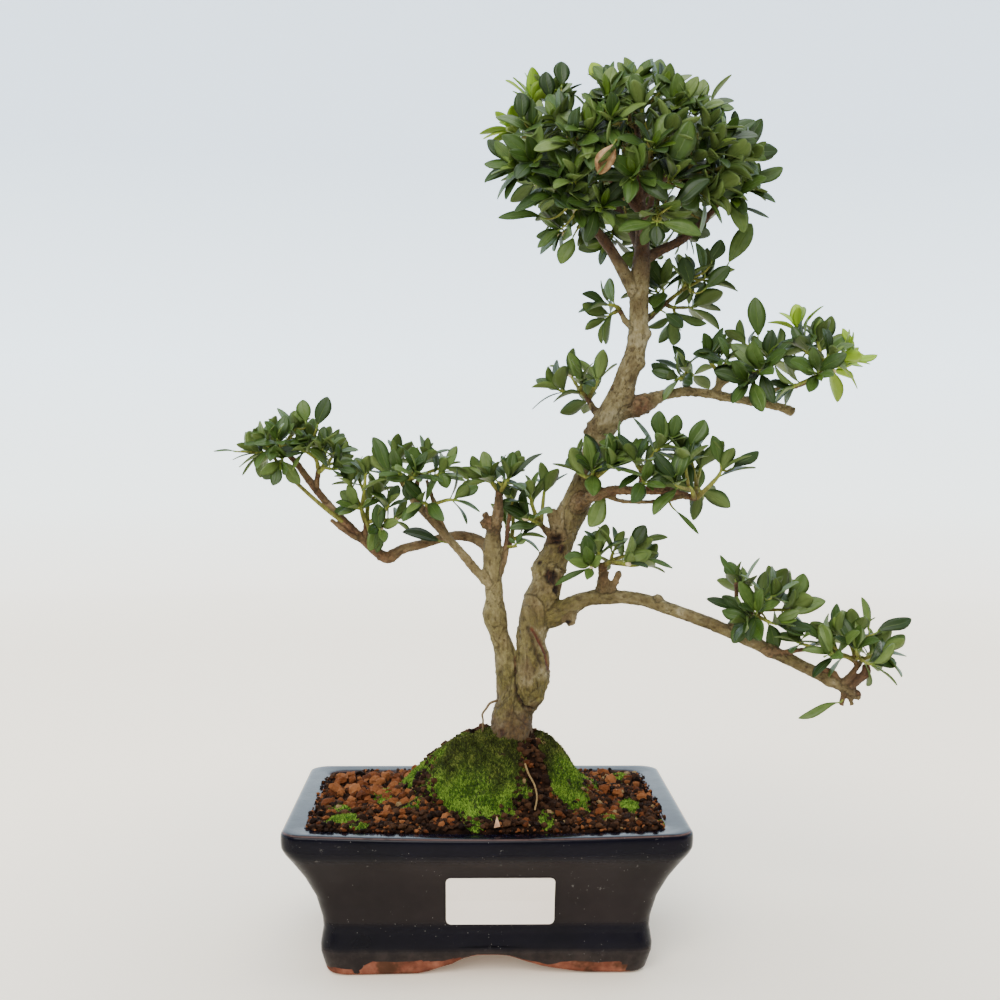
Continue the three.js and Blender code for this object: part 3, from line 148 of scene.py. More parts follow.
# Wood: the routes of the trunk and its branches, each point as x, y, z and radius
WOOD = {
    "base": [
        (8, 0, 58, 13), (9, 0, 74, 13.4), (11, 0, 88, 12.6), (12.5, 0, 103, 10.8), (14, 0, 117, 9.9),
        (16, 0, 127, 8.7), (16, 0, 136, 6.6),
    ],
    "left_trunk": [
        (13, 1, 120, 7.1), (11, 0, 138, 6.3), (9, 0, 149, 5.2), (6, -1, 159, 4.5), (4, -2, 168, 5.3),
        (4, -2, 176, 4.2), (3, -3, 187, 4.7), (3, -4, 198, 4.5), (3, -4, 208, 4), (5, -5, 217, 2.9),
        (6, -6, 229, 2.1),
    ],
    "trunk": [
        (19, -2, 119, 5.5), (22.1, -3.5, 130, 8.2), (23.7, -3, 142, 7.9), (23, -1, 154, 7.1),
        (25, 1, 166, 7.9), (28, 2, 175, 8.6), (31, 3, 183, 7.4), (32.5, 4, 191, 8.2), (36, 5, 200, 6.9),
        (40, 6, 211, 7.1), (44, 6, 220, 7.5), (48, 5, 229, 6.9), (52, 4, 241, 5.9), (55, 3, 251, 5.8),
        (58, 2, 261, 6.6), (62.5, 1, 269, 7), (67, 0, 278, 6.4), (71, -2, 290, 5.4), (75, -4, 303, 5),
        (76, -6, 319, 4.7), (76, -8, 335, 4.9), (77, -9, 348, 3.8), (77, -9, 363, 3.2), (76, -8, 379, 2.5),
        (76, -6, 397, 1.8), (75, -3, 412, 1.4),
    ],
    "branch_e": [
        (31, 2, 166.5, 6.4), (38, 1, 168.3, 5.8), (44, 0, 172.2, 4.8), (52, -1, 176, 3.7),
        (63, -3, 177, 3.5), (78, -5, 176, 3.3), (94, -8, 171, 3.2), (114, -11, 164, 3.2),
        (135, -14, 155, 3.2), (156, -16, 145, 3.1), (174, -17, 136, 2.8), (188, -17, 128, 2.1),
    ],
    "branch_d": [
        (67, 0, 271.5, 4.6), (75, 2, 273.8, 5), (82, 4, 276.2, 4.5), (90, 6, 280, 2.8), (105, 9, 282, 2.4),
        (122, 11, 280, 2.4), (139, 13, 277, 2.3), (151, 14, 275, 2.2), (160, 14, 272, 2.1),
    ],
    "branch_d_side": [(117, 11, 281, 2), (123, 9, 288, 2), (131, 6, 291, 1.6), (138, 3, 292, 1.3)],
    "branch_d_out": [(136, 13, 278, 1.8), (149, 12, 283, 1.6), (162, 8, 286, 1.4), (169, 5, 290, 1.3)],
    "branch_c": [
        (47, -2, 224, 3.4), (52, -12, 228, 2.7), (62, -19, 232, 2.4), (75, -23, 232, 2.3), (89, -24, 232, 2),
        (100, -23, 229, 1.6),
    ],
    "branch_a": [
        (2, -3, 183, 2.7), (-5, -6, 190, 2.3), (-13, -10, 200, 2.2), (-21, -13, 209, 2.1),
        (-29, -16, 218, 2.1), (-36, -18, 226, 2.1), (-40, -19, 232, 1.6),
    ],
    "branch_b": [
        (3, -2, 198, 3.1), (-3, 3, 204.6, 2.8), (-12, 6, 207.4, 2.6), (-21, 8, 206.6, 2.5),
        (-33, 8, 203, 2.4), (-44, 8, 200, 2.5), (-51, 7, 196, 2.8), (-59, 6, 201, 2.4), (-71, 3, 213, 2.2),
        (-83, 1, 226, 2), (-92, -1, 238, 1.9), (-97, -2, 245, 1.6), (-102, -2, 250, 1.4),
    ],
    "crown_left": [
        (74, -8, 330, 3.4), (66, -10, 344, 3), (60, -13, 353, 2.7), (53, -16, 361, 2.4),
        (45, -19, 368, 1.8),
    ],
    "crown_far_left": [(53, -16, 361, 2), (45, -8, 375, 1.7), (36, -2, 388, 1.4)],
    "crown_right": [
        (77, -8, 347, 2.7), (88, -6, 353, 2.5), (99, -4, 359, 2.3), (108, -2, 367, 1.8),
        (116, 0, 376, 1.4),
    ],
    "crown_front": [(77, -8, 358, 2.4), (78, -20, 366, 2), (79, -32, 375, 1.6)],
    "crown_back": [(76, -9, 352, 2.5), (74, 6, 363, 2.2), (70, 20, 374, 1.9), (68, 30, 383, 1.5)],
    "crown_back_right": [(77, -9, 362, 2.3), (87, 8, 371, 2), (97, 22, 380, 1.6)],
    "crown_upleft": [(77, -9, 370, 2.1), (66, -12, 381, 1.8), (55, -14, 392, 1.5)],
    "crown_upright": [(76, -8, 378, 2), (88, -8, 388, 1.7), (99, -6, 399, 1.4)],
    "spur_f": [(61, 2, 266, 2.4), (56, 4, 271, 1.9), (53, 6, 276, 1.6)],
    "spur_g": [(75, -5, 312, 1.9), (70, -2, 317, 1.6), (68, -1, 321, 1.4)],
    "spur_h": [(75, -6, 312, 2), (82, 3, 319, 1.8), (90, 8, 326, 1.4)],
    "spur_d_near": [(103, 9, 281, 1.6), (104, 9, 288, 1.4)],
    "spur_d_twig": [(120, 10, 285, 1.6), (119.5, 9, 291, 1.4)],
    "spur_c_left": [(57, -16, 230, 1.8), (54, -18, 236, 1.5)],
    "spur_c_mid": [(76, -23, 232, 1.8), (76, -24, 238, 1.5)],
    "spur_e1": [(59, -2, 177, 3.2), (59.5, -3, 184, 3), (59, -4, 191, 2.4)],
    "spur_e2": [(121, -12, 161, 2), (127, -13, 164, 1.8), (132, -13, 167, 1.5)],
    "spur_e3": [(177, -17, 134, 2.2), (182, -18, 138, 1.9), (185, -18, 142, 1.5)],
    "spur_left_back": [(3, -3, 195, 1.9), (8, 1, 200, 1.6), (11, 3, 203, 1.4)],
    "spur_trunk_left": [(40, 5, 207, 2.6), (32, 3, 209, 1.8), (29, 2, 212, 1.4)],
    "spur_a_low": [(-29, -16, 218, 1.7), (-29.5, -20, 222, 1.4)],
    "spur_b_inner": [(-87, 0, 231, 1.7), (-86, -2, 238, 1.4)],
    "spur_b_mid": [(-63, 5, 205, 1.8), (-62, 4, 212, 1.5)],
    "stub_trunk": [(37, 5, 208, 3.4), (33, 3, 221, 2.6)],
    "stub_e_end": [(182, -17, 131, 1.6), (184, -18, 124, 1)],
}

# Sprays: the branch each one grows from, and where its shoots end
SPRAYS = {
    "f": ("spur_f", [(36, 8, 283), (48, 4, 287), (58, 14, 288), (54, 22, 276), (44, 18, 290)]),
    "g": ("spur_g", [(61, 2, 319), (60, -6, 325)]),
    "h": ("spur_h", [
        (113, 10, 341), (103, 4, 340), (89, 0, 334), (109, 22, 327), (97, 14, 320), (87, 12, 335),
    ]),
    "d_near": ("spur_d_near", [(102, 6, 294), (108, 19, 291), (97, 2, 288)]),
    "d_twig": ("spur_d_twig", [(113, 0, 299), (121, 16, 301), (121, -8, 297)]),
    "d_mid": (
        "branch_d_side",
        [(136, -12, 291), (142, -6, 298), (130, -16, 286), (133, 10, 307), (151, 12, 302)],
    ),
    "d_out": (
        "branch_d_out",
        [
            (160, -4, 304), (169, 2, 308), (174, -4, 300), (182, 0, 297), (165, -14, 290), (154, -8, 284),
            (160, 8, 315), (176, 20, 305), (163, 24, 300), (181, 16, 294),
        ],
    ),
    "c_left": ("spur_c_left", [(52, -24, 241), (60, -30, 244), (60, -20, 246), (46, -16, 240)]),
    "c_mid": ("spur_c_mid", [
        (71, -34, 247), (85, -28, 254), (67, -16, 252), (80, -10, 244), (76, -38, 236),
    ]),
    "c_end": (
        "branch_c",
        [(97, -30, 246), (90, -40, 236), (116, -22, 243), (107, -12, 231), (108, -8, 243), (100, -16, 251)],
    ),
    "e1": (
        "spur_e1",
        [
            (52, -16, 193), (56, -10, 201), (65, -6, 202), (76, -2, 199), (70, -16, 195), (80, 4, 193),
            (58, 10, 197), (72, 14, 194),
        ],
    ),
    "e2": (
        "spur_e2",
        [
            (134, -22, 171), (143, -20, 179), (153, -12, 171), (143, -24, 166), (130, -22, 167),
            (141, -2, 175), (128, -8, 183), (150, 4, 176), (133, 4, 178),
        ],
    ),
    "e3": (
        "spur_e3",
        [
            (172, -14, 155), (176, -22, 161), (185, -16, 159), (182, -30, 154), (199, -18, 150),
            (191, -28, 146), (170, -28, 151), (156, -20, 156), (186, -4, 155), (196, -6, 148),
        ],
    ),
    "left_top": ("left_trunk", [(1, -9, 238), (11, -12, 238), (-2, 0, 236), (12, 2, 239)]),
    "left_back": ("spur_left_back", [(18, 5, 208), (13, 8, 224), (10, 12, 214)]),
    "trunk_left": ("spur_trunk_left", [(22, -4, 228), (20, -8, 217), (24, 10, 226), (30, 10, 232)]),
    "a": (
        "branch_a",
        [
            (-43, -27, 240), (-35, -32, 240), (-24, -22, 240), (-31, -20, 247), (-51, -14, 239),
            (-46, -10, 247), (-34, -4, 246), (-22, -8, 243),
        ],
    ),
    "a_low": ("spur_a_low", [(-32, -28, 226), (-16, -22, 227)]),
    "b_far": (
        "branch_b",
        [
            (-117, -6, 250), (-111, -12, 254), (-104, -16, 256), (-96, -8, 262), (-103, -14, 244),
            (-110, 6, 256), (-100, 10, 259), (-115, 8, 249),
        ],
    ),
    "b_inner": (
        "spur_b_inner",
        [
            (-88, -8, 256), (-82, -14, 253), (-92, -14, 251), (-76, -12, 251), (-76, -14, 242),
            (-84, 8, 251), (-76, 8, 246),
        ],
    ),
    "b_mid": (
        "spur_b_mid",
        [
            (-69, -6, 234), (-61, -10, 240), (-66, -6, 222), (-54, -4, 212), (-50, 0, 224),
            (-67, 10, 237), (-56, 12, 231), (-47, 10, 216),
        ],
    ),
}

# Crown: a dome of shoots, each on the nearest of the crown's branches
CROWN_BRANCHES = {
    "crown_low_left": "crown_left",
    "crown_far_left": "crown_far_left",
    "crown_up_left": "crown_upleft",
    "crown_top": "trunk",
    "crown_up_right": "crown_upright",
    "crown_right": "crown_right",
    "crown_front": "crown_front",
    "crown_back": "crown_back",
    "crown_back_right": "crown_back_right",
}
CROWN = {"x": 71, "y": -3, "z": 391, "half_x": 60, "half_z": 40, "front": 53, "back": 54}
CROWN_BACK = {"half_x": 53, "half_z": 35}
CROWN_FRONT_TIPS = [
    (14, 390), (13, 412), (22, 407), (22, 428), (32, 427), (33, 408), (22, 390), (39, 397), (47, 401),
    (56, 418), (60, 424), (71, 427), (83, 425), (57, 405), (71, 413), (85, 401), (89, 415), (98, 414),
    (103, 403), (106, 394), (113, 400), (124, 394), (130, 384), (114, 388), (80, 364), (86, 380), (68, 380),
    (53, 367), (32, 375), (43, 368), (40, 380), (56, 387), (104, 373), (110, 378), (76, 392), (118, 376),
]
CROWN_MIDDLE_TIPS = [(62, 10, 419), (82, 14, 417), (72, -3, 426)]
CROWN_BACK_TIPS = 24

# Shoots and leaves
STEM = 3.4
MOST_SHOOTS = 4
BUNCH_ROUNDS = 4
FORK_PLACE = 0.5
FORK_LENGTH = 2.2
SHOOT_BOW = 0.3
SHOOT_RADIUS = 0.9
SHOOT_SWELL = 0.12
SHOOT_MOST_RADIUS = 1.4
LONG_SHOOT = 24
# shoots that the solid model bows aside, and those it has no room for, by spray and place
BOWED = {
    ("h", (90, 8, 331)): 1,
    ("e1", (56, -9, 196)): 1,
    ("e3", (185, -25, 150)): 2,
    ("b_far", (-103, -14, 244)): 8,
    ("crown_far_left", (22, -3, 428)): 9,
    ("crown_up_right", (124, -28, 394)): 9,
    ("crown_right", (118, -29, 376)): 6,
    ("crown_back", (40, 42, 399)): 3,
}
NOT_IN_SOLIDS = {
    ("d_mid", (130, -16, 286)),
    ("c_mid", (67, -16, 252)),
    ("e2", (130, -22, 167)),
    ("e3", (176, -17, 150)),
    ("e3", (176, -18, 150)),
    ("crown_up_right", (89, -42, 415)),
    ("crown_front", (106, -46, 394)),
}
LEAVES_A_SHOOT = 6
LEAF_LENGTH = 18.6
LEAF_WIDTH = 8.1
LEAF_SPREAD = {"first": 0.42, "more": 0.17, "vary": 0.3}
LEAF_GROWTH = {"first": 0.78, "more": 0.06, "vary": 0.16}
LEAF_LIFT = {"axis": 0.3, "blade": 0.12, "face": 0.45}
# places with young, yellow-green shoots: x, z, reach, and how young
YOUNG = [
    (9, 411, 4.5, 0.6), (20, 432, 8, 0.7), (53, 432, 7, 0.6), (74, 436, 6, 0.5), (184, 300, 8, 0.7),
    (161, 318, 6, 0.7),
]
# how leafy a spray is: size of its leaves, small leaves at each tip, leaves along each twig, share of them
# left out, share of the outer leaves at each tip left out, how green its twigs are, how wide its leaves
# are for their length, and how much lighter they are, partly their own paler green and partly painted sheen
USUAL_SPRAY = dict(size=1.0, small=0, along=1, out=0.3, drop=0.4, fresh=0.3, wide=1.0, light=0.07)
LEAFY = {
    "plain": dict(small=1, along=2, drop=0.3, fresh=0.25),
    "crown": dict(size=1.06, small=3, along=5, out=0.05, drop=0.0, fresh=0.0, light=0.12),
    "a": dict(size=0.86, small=1, along=2, fresh=0.5, light=0.28),
    "a_low": dict(size=0.9, out=0.4, drop=0.5, fresh=0.4, light=0.1),
    "left_top": dict(size=0.9, light=0.26),
    "left_back": dict(size=0.84, out=0.5, drop=0.65, fresh=0.4, light=0.15),
    "trunk_left": dict(size=0.95, out=0.4, drop=0.5, fresh=0.4, light=0.1),
    "b_far": dict(size=0.8, small=1, along=2, out=0.2, drop=0.2, fresh=0.6, wide=1.15, light=0.3),
    "b_inner": dict(size=0.8, along=2, out=0.2, drop=0.3, fresh=0.6, wide=1.15, light=0.3),
    "b_mid": dict(size=0.76, along=2, out=0.2, drop=0.3, fresh=0.6, wide=1.15, light=0.3),
    "d_near": dict(size=0.92, out=0.4, drop=0.6, fresh=0.5),
    "d_twig": dict(size=0.92, out=0.4, drop=0.6, fresh=0.5),
    "d_mid": dict(small=1, along=2, out=0.2, drop=0.2),
    "d_out": dict(size=0.96, small=1, out=0.2, drop=0.3, fresh=0.4),
    "e1": dict(size=0.9, out=0.4, drop=0.5),
    "f": dict(out=0.2),
    "g": dict(size=0.95),
    "h": dict(along=2, out=0.2, drop=0.3),
}
# leaves that fill the middle of the crown: middle and half sizes of the room, how many, seed
INNER_LEAVES = {"middle": (70, 1, 399), "half": (46, 22, 22), "number": 90, "seed": 811}
# leaves that stand out of the sprays, as the picture shows them: foot, tip, where the face looks, width,
# and how dry (over 0) or how young (under 0)
SIDE_LEAVES = [
    ((83.5, -54, 379.5), (93, -58, 405), (0, -1, 0.1), 11.5, 0),
    ((57.5, -62, 394), (50, -63, 379.5), (-0.2, -1, 0.2), 9, 1),
    ((120.5, -6, 345), (132.5, -8, 366.5), (0, -1, 0.2), 9.5, 0),
    ((112.5, -5, 346), (117.5, -7, 358), (0.2, -1, 0.1), 7.5, 0),
    ((101.5, -8, 333.5), (98, -9, 349), (0, -1, 0.1), 8.5, 0),
    ((110.5, 0, 340.5), (107, 0, 358), (0.4, -1, 0), 6, 0),
    ((108.5, -8, 332.5), (121.5, -10, 344), (0, -1, 0.4), 8, 0),
    ((89, -6, 321.5), (98.5, -8, 314), (0, -1, 0.4), 8, 0),
    ((138, 0, 308.5), (136, -1, 330), (0, -1, 0), 9.5, 0),
    ((-126, -10, 250.5), (-137, -10, 251), (0, -0.5, 1), 2.4, 0),
    ((-22.5, -5, 205), (-43, -6, 210), (0, -0.8, 0.8), 8.5, 0),
    ((178, -19, 126), (156, -20, 117.5), (0, -1, 0.5), 4.4, 0),
    ((91.5, -25, 223.5), (104.5, -25, 210.5), (0.3, -1, 0.3), 2.6, 0),
    ((121, -20, 242.5), (135, -20, 252), (0, -1, 0.3), 6, 0),
    ((53.5, -8, 195), (39, -10, 198), (0, -0.9, 0.5), 7, 0),
    ((52.5, -9, 192.5), (34, -10, 184.5), (0, -0.8, 0.7), 4, 0),
    ((76, -6, 205), (92, -6, 208), (0, -0.6, 0.8), 5, 0),
    ((73, -8, 202), (80, -9, 214), (0, -1, 0.3), 8, 0),
    ((60, -14, 229), (51, -16, 213.5), (0, -1, 0.2), 9.5, 0),
    ((79.5, -8, 197), (94.5, -9, 193), (0, -0.7, 0.7), 4, 0),
    ((128.5, -12, 382), (146.5, -14, 392.5), (0, -1, 0.5), 7.5, 0),
    ((128.5, -12, 382), (143.5, -14, 376.5), (0, -0.8, 0.8), 5.5, 0),
    ((129, -13, 382.5), (132.5, -14, 396), (0, -1, 0.1), 8, 0),
    ((124.5, -12, 373.5), (140, -12, 367.5), (0, -0.7, 0.8), 4, 0),
    ((123, -10, 403), (139.5, -10, 405.5), (0, -0.5, 1), 4, 0),
    ((28, -20, 365.5), (5, -22, 368), (0, -0.8, 0.7), 7, 0),
    ((35.5, -20, 360.5), (23.5, -20, 352.5), (0, -0.9, 0.6), 5.5, 0),
    ((42, -20, 357.5), (35.5, -22, 343.5), (0, -1, 0.1), 8, 0),
    ((12.5, -15, 392.5), (-0.5, -16, 405), (0, -1, 0.3), 8.5, 0),
    ((12.5, -15, 391.5), (-2.5, -15, 385), (0, -0.8, 0.8), 6, 0),
    ((77.5, -53, 359), (60, -56, 355), (0, -1, 0.6), 8, 0),
    ((79.5, -53, 359), (99, -56, 353), (0, -1, 0.6), 9, 0),
    ((78.5, -53, 358.5), (78, -55, 348), (0, -1, 0.2), 8, 0),
    ((84.5, -54, 366), (102.5, -56, 379), (0, -1, 0.6), 9, 0),
    ((35.5, -20, 429), (35.5, -20, 442.5), (0, -1, 0), 8.5, 0),
    ((56, -20, 430.5), (50, -20, 441.5), (0, -1, 0.2), 8, -0.6),
    ((109.5, -20, 420), (121, -18, 420.5), (0, -1, 0.4), 6, 0),
    ((188.5, 4, 303.5), (182.5, 4, 315), (0, -1, 0), 4, -0.7),
    ((183.5, 0, 295.5), (199.5, 0, 301), (0, -0.8, 0.6), 5, -0.7),
    ((126.5, -14, 171), (110.5, -14, 177.5), (0, -0.8, 0.7), 6, 0),
    ((150.5, -16, 170), (170.5, -16, 177), (0, -0.9, 0.5), 8.5, 0),
    ((153, -16, 174.5), (159, -16, 190.5), (0, -1, 0.1), 9, 0),
    ((125.5, -14, 185.5), (117, -14, 199.5), (0, -0.8, 0.5), 4, 0),
    ((130, -16, 166), (123.5, -18, 155.5), (0, -1, 0.2), 7.5, 0),
    ((141.5, -14, 165.5), (146.5, -16, 151.5), (0, -1, 0.2), 8.5, 0),
    ((194, -20, 160.5), (213, -20, 169), (0, -0.9, 0.5), 7, 0),
    ((168, -20, 157.5), (156.5, -20, 166.5), (0, -0.9, 0.5), 5, 0),
    ((191.5, -20, 160.5), (188, -20, 179), (0.3, -1, 0), 5, 0),
    ((-85, -14, 262.5), (-79.5, -14, 278), (0, -1, 0.1), 8, 0),
    ((-90.5, -14, 264.5), (-92, -14, 276.5), (0, -1, 0.1), 7.5, 0),
    ((-37, -26, 238), (-50, -26, 238), (0, -1, 0.6), 6.5, 0),
    ((-54, -8, 210.5), (-55.5, -9, 224.5), (0, -1, 0.1), 7.5, 0),
    ((12.5, -6, 228), (5, -8, 236), (0, -1, 0.2), 6, 0),
    ((14.5, -8, 204), (19.5, -8, 206.5), (0, -1, 0.3), 3, 0),
    ((14.5, -8, 204), (17.5, -8, 210), (0, -1, 0.3), 3, 0),
    ((14.5, -8, 204), (11, -8, 207.5), (0, -1, 0.3), 2.6, 0),
    ((26, -3, 214), (11.5, -6, 213), (0, -0.9, 0.5), 5.5, 0),
    ((29.0, -24.0, 422.0), (27.5, -26.0, 435.5), (0, -1, 0.2), 8, 0),
    ((34.5, -26.0, 411.5), (34.0, -28.0, 426.0), (0, -1, 0.2), 8.5, 0),
    ((52.5, -24.0, 416.0), (50.5, -26.0, 427.5), (0, -1, 0.2), 7.5, 0),
    ((106.0, -20.0, 418.0), (103.5, -22.0, 428.5), (0, -1, 0.2), 7.5, 0),
    ((116.5, -16.0, 399.5), (118.0, -18.0, 412.0), (0, -1, 0.2), 7, 0),
    ((122.5, -14.0, 409.0), (121.5, -16.0, 420.0), (0, -1, 0.2), 4.5, 0),
    ((17.0, -30.0, 411.0), (14.5, -32.0, 424.0), (0, -1, 0.2), 8.5, 0),
    ((33.5, -40.0, 387.5), (29.0, -42.0, 396.5), (0, -1, 0.2), 8, 0),
    ((71.0, -45.0, 417.5), (67.0, -47.0, 429.0), (0, -1, 0.2), 8, 0),
    ((84.5, -28, 255), (83.5, -30, 271.5), (0, -1, 0.1), 8.5, 0),
    ((90, -28, 257), (92.5, -30, 269.5), (0, -1, 0.2), 7.5, 0),
    ((99, -28, 253), (106, -30, 267), (0, -1, 0.2), 9, 0),
    ((115, -24, 244.5), (110.5, -26, 259.5), (0, -1, 0.1), 6.5, 0),
    ((-47, -24, 239), (-56.5, -25, 258), (0, -1, 0.2), 7.5, 0),
    ((-36, -24, 242), (-36.5, -26, 253.5), (0, -1, 0.3), 8.5, 0),
    ((-38, -24, 238), (-39, -26, 227), (0, -1, 0.3), 7.5, 0),
    ((-23.5, -22, 242), (-20, -24, 233), (0, -1, 0.4), 7, 0),
    ((-51, -22, 244), (-55, -23, 256), (0, -1, 0.2), 7.5, 0),
    ((5, -9, 236), (-3, -11, 243), (0, -1, 0.4), 7, 0),
    ((8, -8, 236), (28, -9, 250), (0, -0.9, 0.4), 3, 0),
    ((26, -3, 218), (14, -6, 217.5), (0, -1, 0.3), 5, 0),
]


# Random numbers and vectors


class Stream:
    """A repeatable stream of numbers between 0 and 1."""

    def __init__(self, seed):
        self.state = seed

    def next(self):
        self.state = self.state * 16807 % 2147483647
        return self.state / 2147483647

    def between(self, low, high):
        return low + (high - low) * self.next()


def unit(v):
    return v / max(np.linalg.norm(v), 1e-12)


def vec(*values):
    return np.array(values, float)


def middle_of(points):
    return np.mean(np.array(points), axis=0)


def value_at(profile, z):
    heights, values = zip(*profile)
    return np.interp(z, heights, values)


# Curves and tubes


class Curve:
    """A centripetal Catmull-Rom curve through points, the same one that the solid model follows."""

    def __init__(self, points):
        self.points = [np.array(p[:3], float) for p in points]

    def point(self, t):
        points = self.points
        last = len(points) - 1
        place = last * t
        i = min(int(place), last - 1)
        weight = place - i
        p1, p2 = points[i], points[i + 1]
        p0 = points[i - 1] if i > 0 else 2 * points[0] - points[1]
        p3 = points[i + 2] if i + 2 <= last else 2 * points[last] - points[last - 1]
        steps = [np.dot(b - a, b - a) ** 0.25 for a, b in ((p0, p1), (p1, p2), (p2, p3))]
        d1 = steps[1] if steps[1] > 1e-4 else 1.0
        d0 = steps[0] if steps[0] > 1e-4 else d1
        d2 = steps[2] if steps[2] > 1e-4 else d1
        start = ((p1 - p0) / d0 - (p2 - p0) / (d0 + d1) + (p2 - p1) / d1) * d1
        end = ((p2 - p1) / d1 - (p3 - p1) / (d1 + d2) + (p3 - p2) / d2) * d1
        c2 = -3 * p1 + 3 * p2 - 2 * start - end
        c3 = 2 * p1 - 2 * p2 + start + end
        return p1 + weight * (start + weight * (c2 + weight * c3))

    def tangent(self, t):
        low, high = max(t - 1e-4, 0), min(t + 1e-4, 1)
        return unit(self.point(high) - self.point(low))

    def length(self):
        return sum(np.linalg.norm(b - a) for a, b in zip(self.points, self.points[1:]))


def across_of(along, side):
    """Two directions across a line, the first of them as near to side as can be."""
    side = unit(side - along * np.dot(side, along))
    return side, np.cross(along, side)


def ring_round(centre, radius, side, other, sides):
    """The points of one ring; side and other are the two directions across it."""
    angles = np.arange(sides) * 2 * math.pi / sides
    return centre + radius * (np.outer(np.cos(angles), side) + np.outer(np.sin(angles), other))


def limb_rings(route, sides, side):
    """Rings round a route at its own points, as the solid model has them."""
    curve = Curve(route)
    side = np.array(side, float)
    if abs(np.dot(curve.tangent(0), side)) > 0.8 * np.linalg.norm(side):
        side = vec(0, 1, 0)
    rings = []
    for i in range(len(route)):
        t = i / (len(route) - 1)
        centre, along = curve.point(t), curve.tangent(t)
        side, other = across_of(along, side)
        rings.append(ring_round(centre, route[i][3], side, other, sides))
    return rings


class Skin:
    """Points, faces and named values on points, gathered for one mesh."""

    def __init__(self, *names):
        self.points = []
        self.faces = []
        self.values = {name: [] for name in names}
        self.count = 0

    def add(self, points, faces, **values):
        points = np.asarray(points, float).reshape(-1, 3)
        self.points.append(points)
        self.faces.extend(tuple(self.count + i for i in face) for face in faces)
        for name, stored in self.values.items():
            stored.append(np.broadcast_to(np.asarray(values.get(name, 0.0), float), len(points)))
        self.count += len(points)

    def tube(self, centres, radii, sides, side=(1, 0, 0), **values):
        """A closed tube; the values may be one number or one for each ring."""
        centres = np.asarray(centres, float)
        ahead = np.vstack([centres[1:] - centres[:-1], centres[-1:] - centres[-2:-1]])
        behind = np.vstack([ahead[:1], ahead[:-1]])
        side = np.array(side, float)
        rings = []
        for centre, along, radius in zip(centres, ahead + behind, radii):
            along = unit(along)
            if abs(np.dot(unit(side), along)) > 0.95:
                side = vec(0.3, 1, 0.2)
            side, other = across_of(along, side)
            rings.append(ring_round(centre, radius, side, other, sides))
        spread = {
            name: np.repeat(value, sides) if np.ndim(value) else value
            for name, value in values.items()
        }
        self.add(np.vstack(rings), tube_faces(len(rings), sides), **spread)


def tube_faces(rings, sides):
    faces = []
    for j in range(rings - 1):
        for i in range(sides):
            a, b = j * sides + i, j * sides + (i + 1) % sides
            faces.append((a, b, b + sides, a + sides))
    faces.append(tuple(reversed(range(sides))))
    faces.append(tuple(range((rings - 1) * sides, rings * sides)))
    return faces


def mesh_object(name, skin, material, smooth=True):
    """One mesh object at the origin, in metres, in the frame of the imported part."""
    mesh = bpy.data.meshes.new(name)
    points = (np.vstack(skin.points) + POT_PLACE) * MM
    mesh.from_pydata(points.tolist(), [], skin.faces)
    for value_name, stored in skin.values.items():
        attribute = mesh.attributes.new(value_name, "FLOAT", "POINT")
        attribute.data.foreach_set("value", np.concatenate(stored).astype(np.float32))
    mesh.polygons.foreach_set("use_smooth", [smooth] * len(mesh.polygons))
    mesh.materials.append(material)
    mesh.update()
    made = bpy.data.objects.new(name, mesh)
    bpy.context.scene.collection.objects.link(made)
    return made


def hand_in(piece, node=None):
    """Puts a piece on the one body and hides the node of the solid model that it stands for, if there is
    one.
    """
    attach(piece, "root")
    if node:
        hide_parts(node)


# Materials


def srgb(red, green, blue):
    """A colour given as 0 to 255 on screen, as the shader wants it."""
    parts = [c / 255 for c in (red, green, blue)]
    return tuple(c / 12.92 if c <= 0.04045 else ((c + 0.055) / 1.055) ** 2.4 for c in parts) + (1.0,)


def grey(value):
    return (value, value, value, 1)


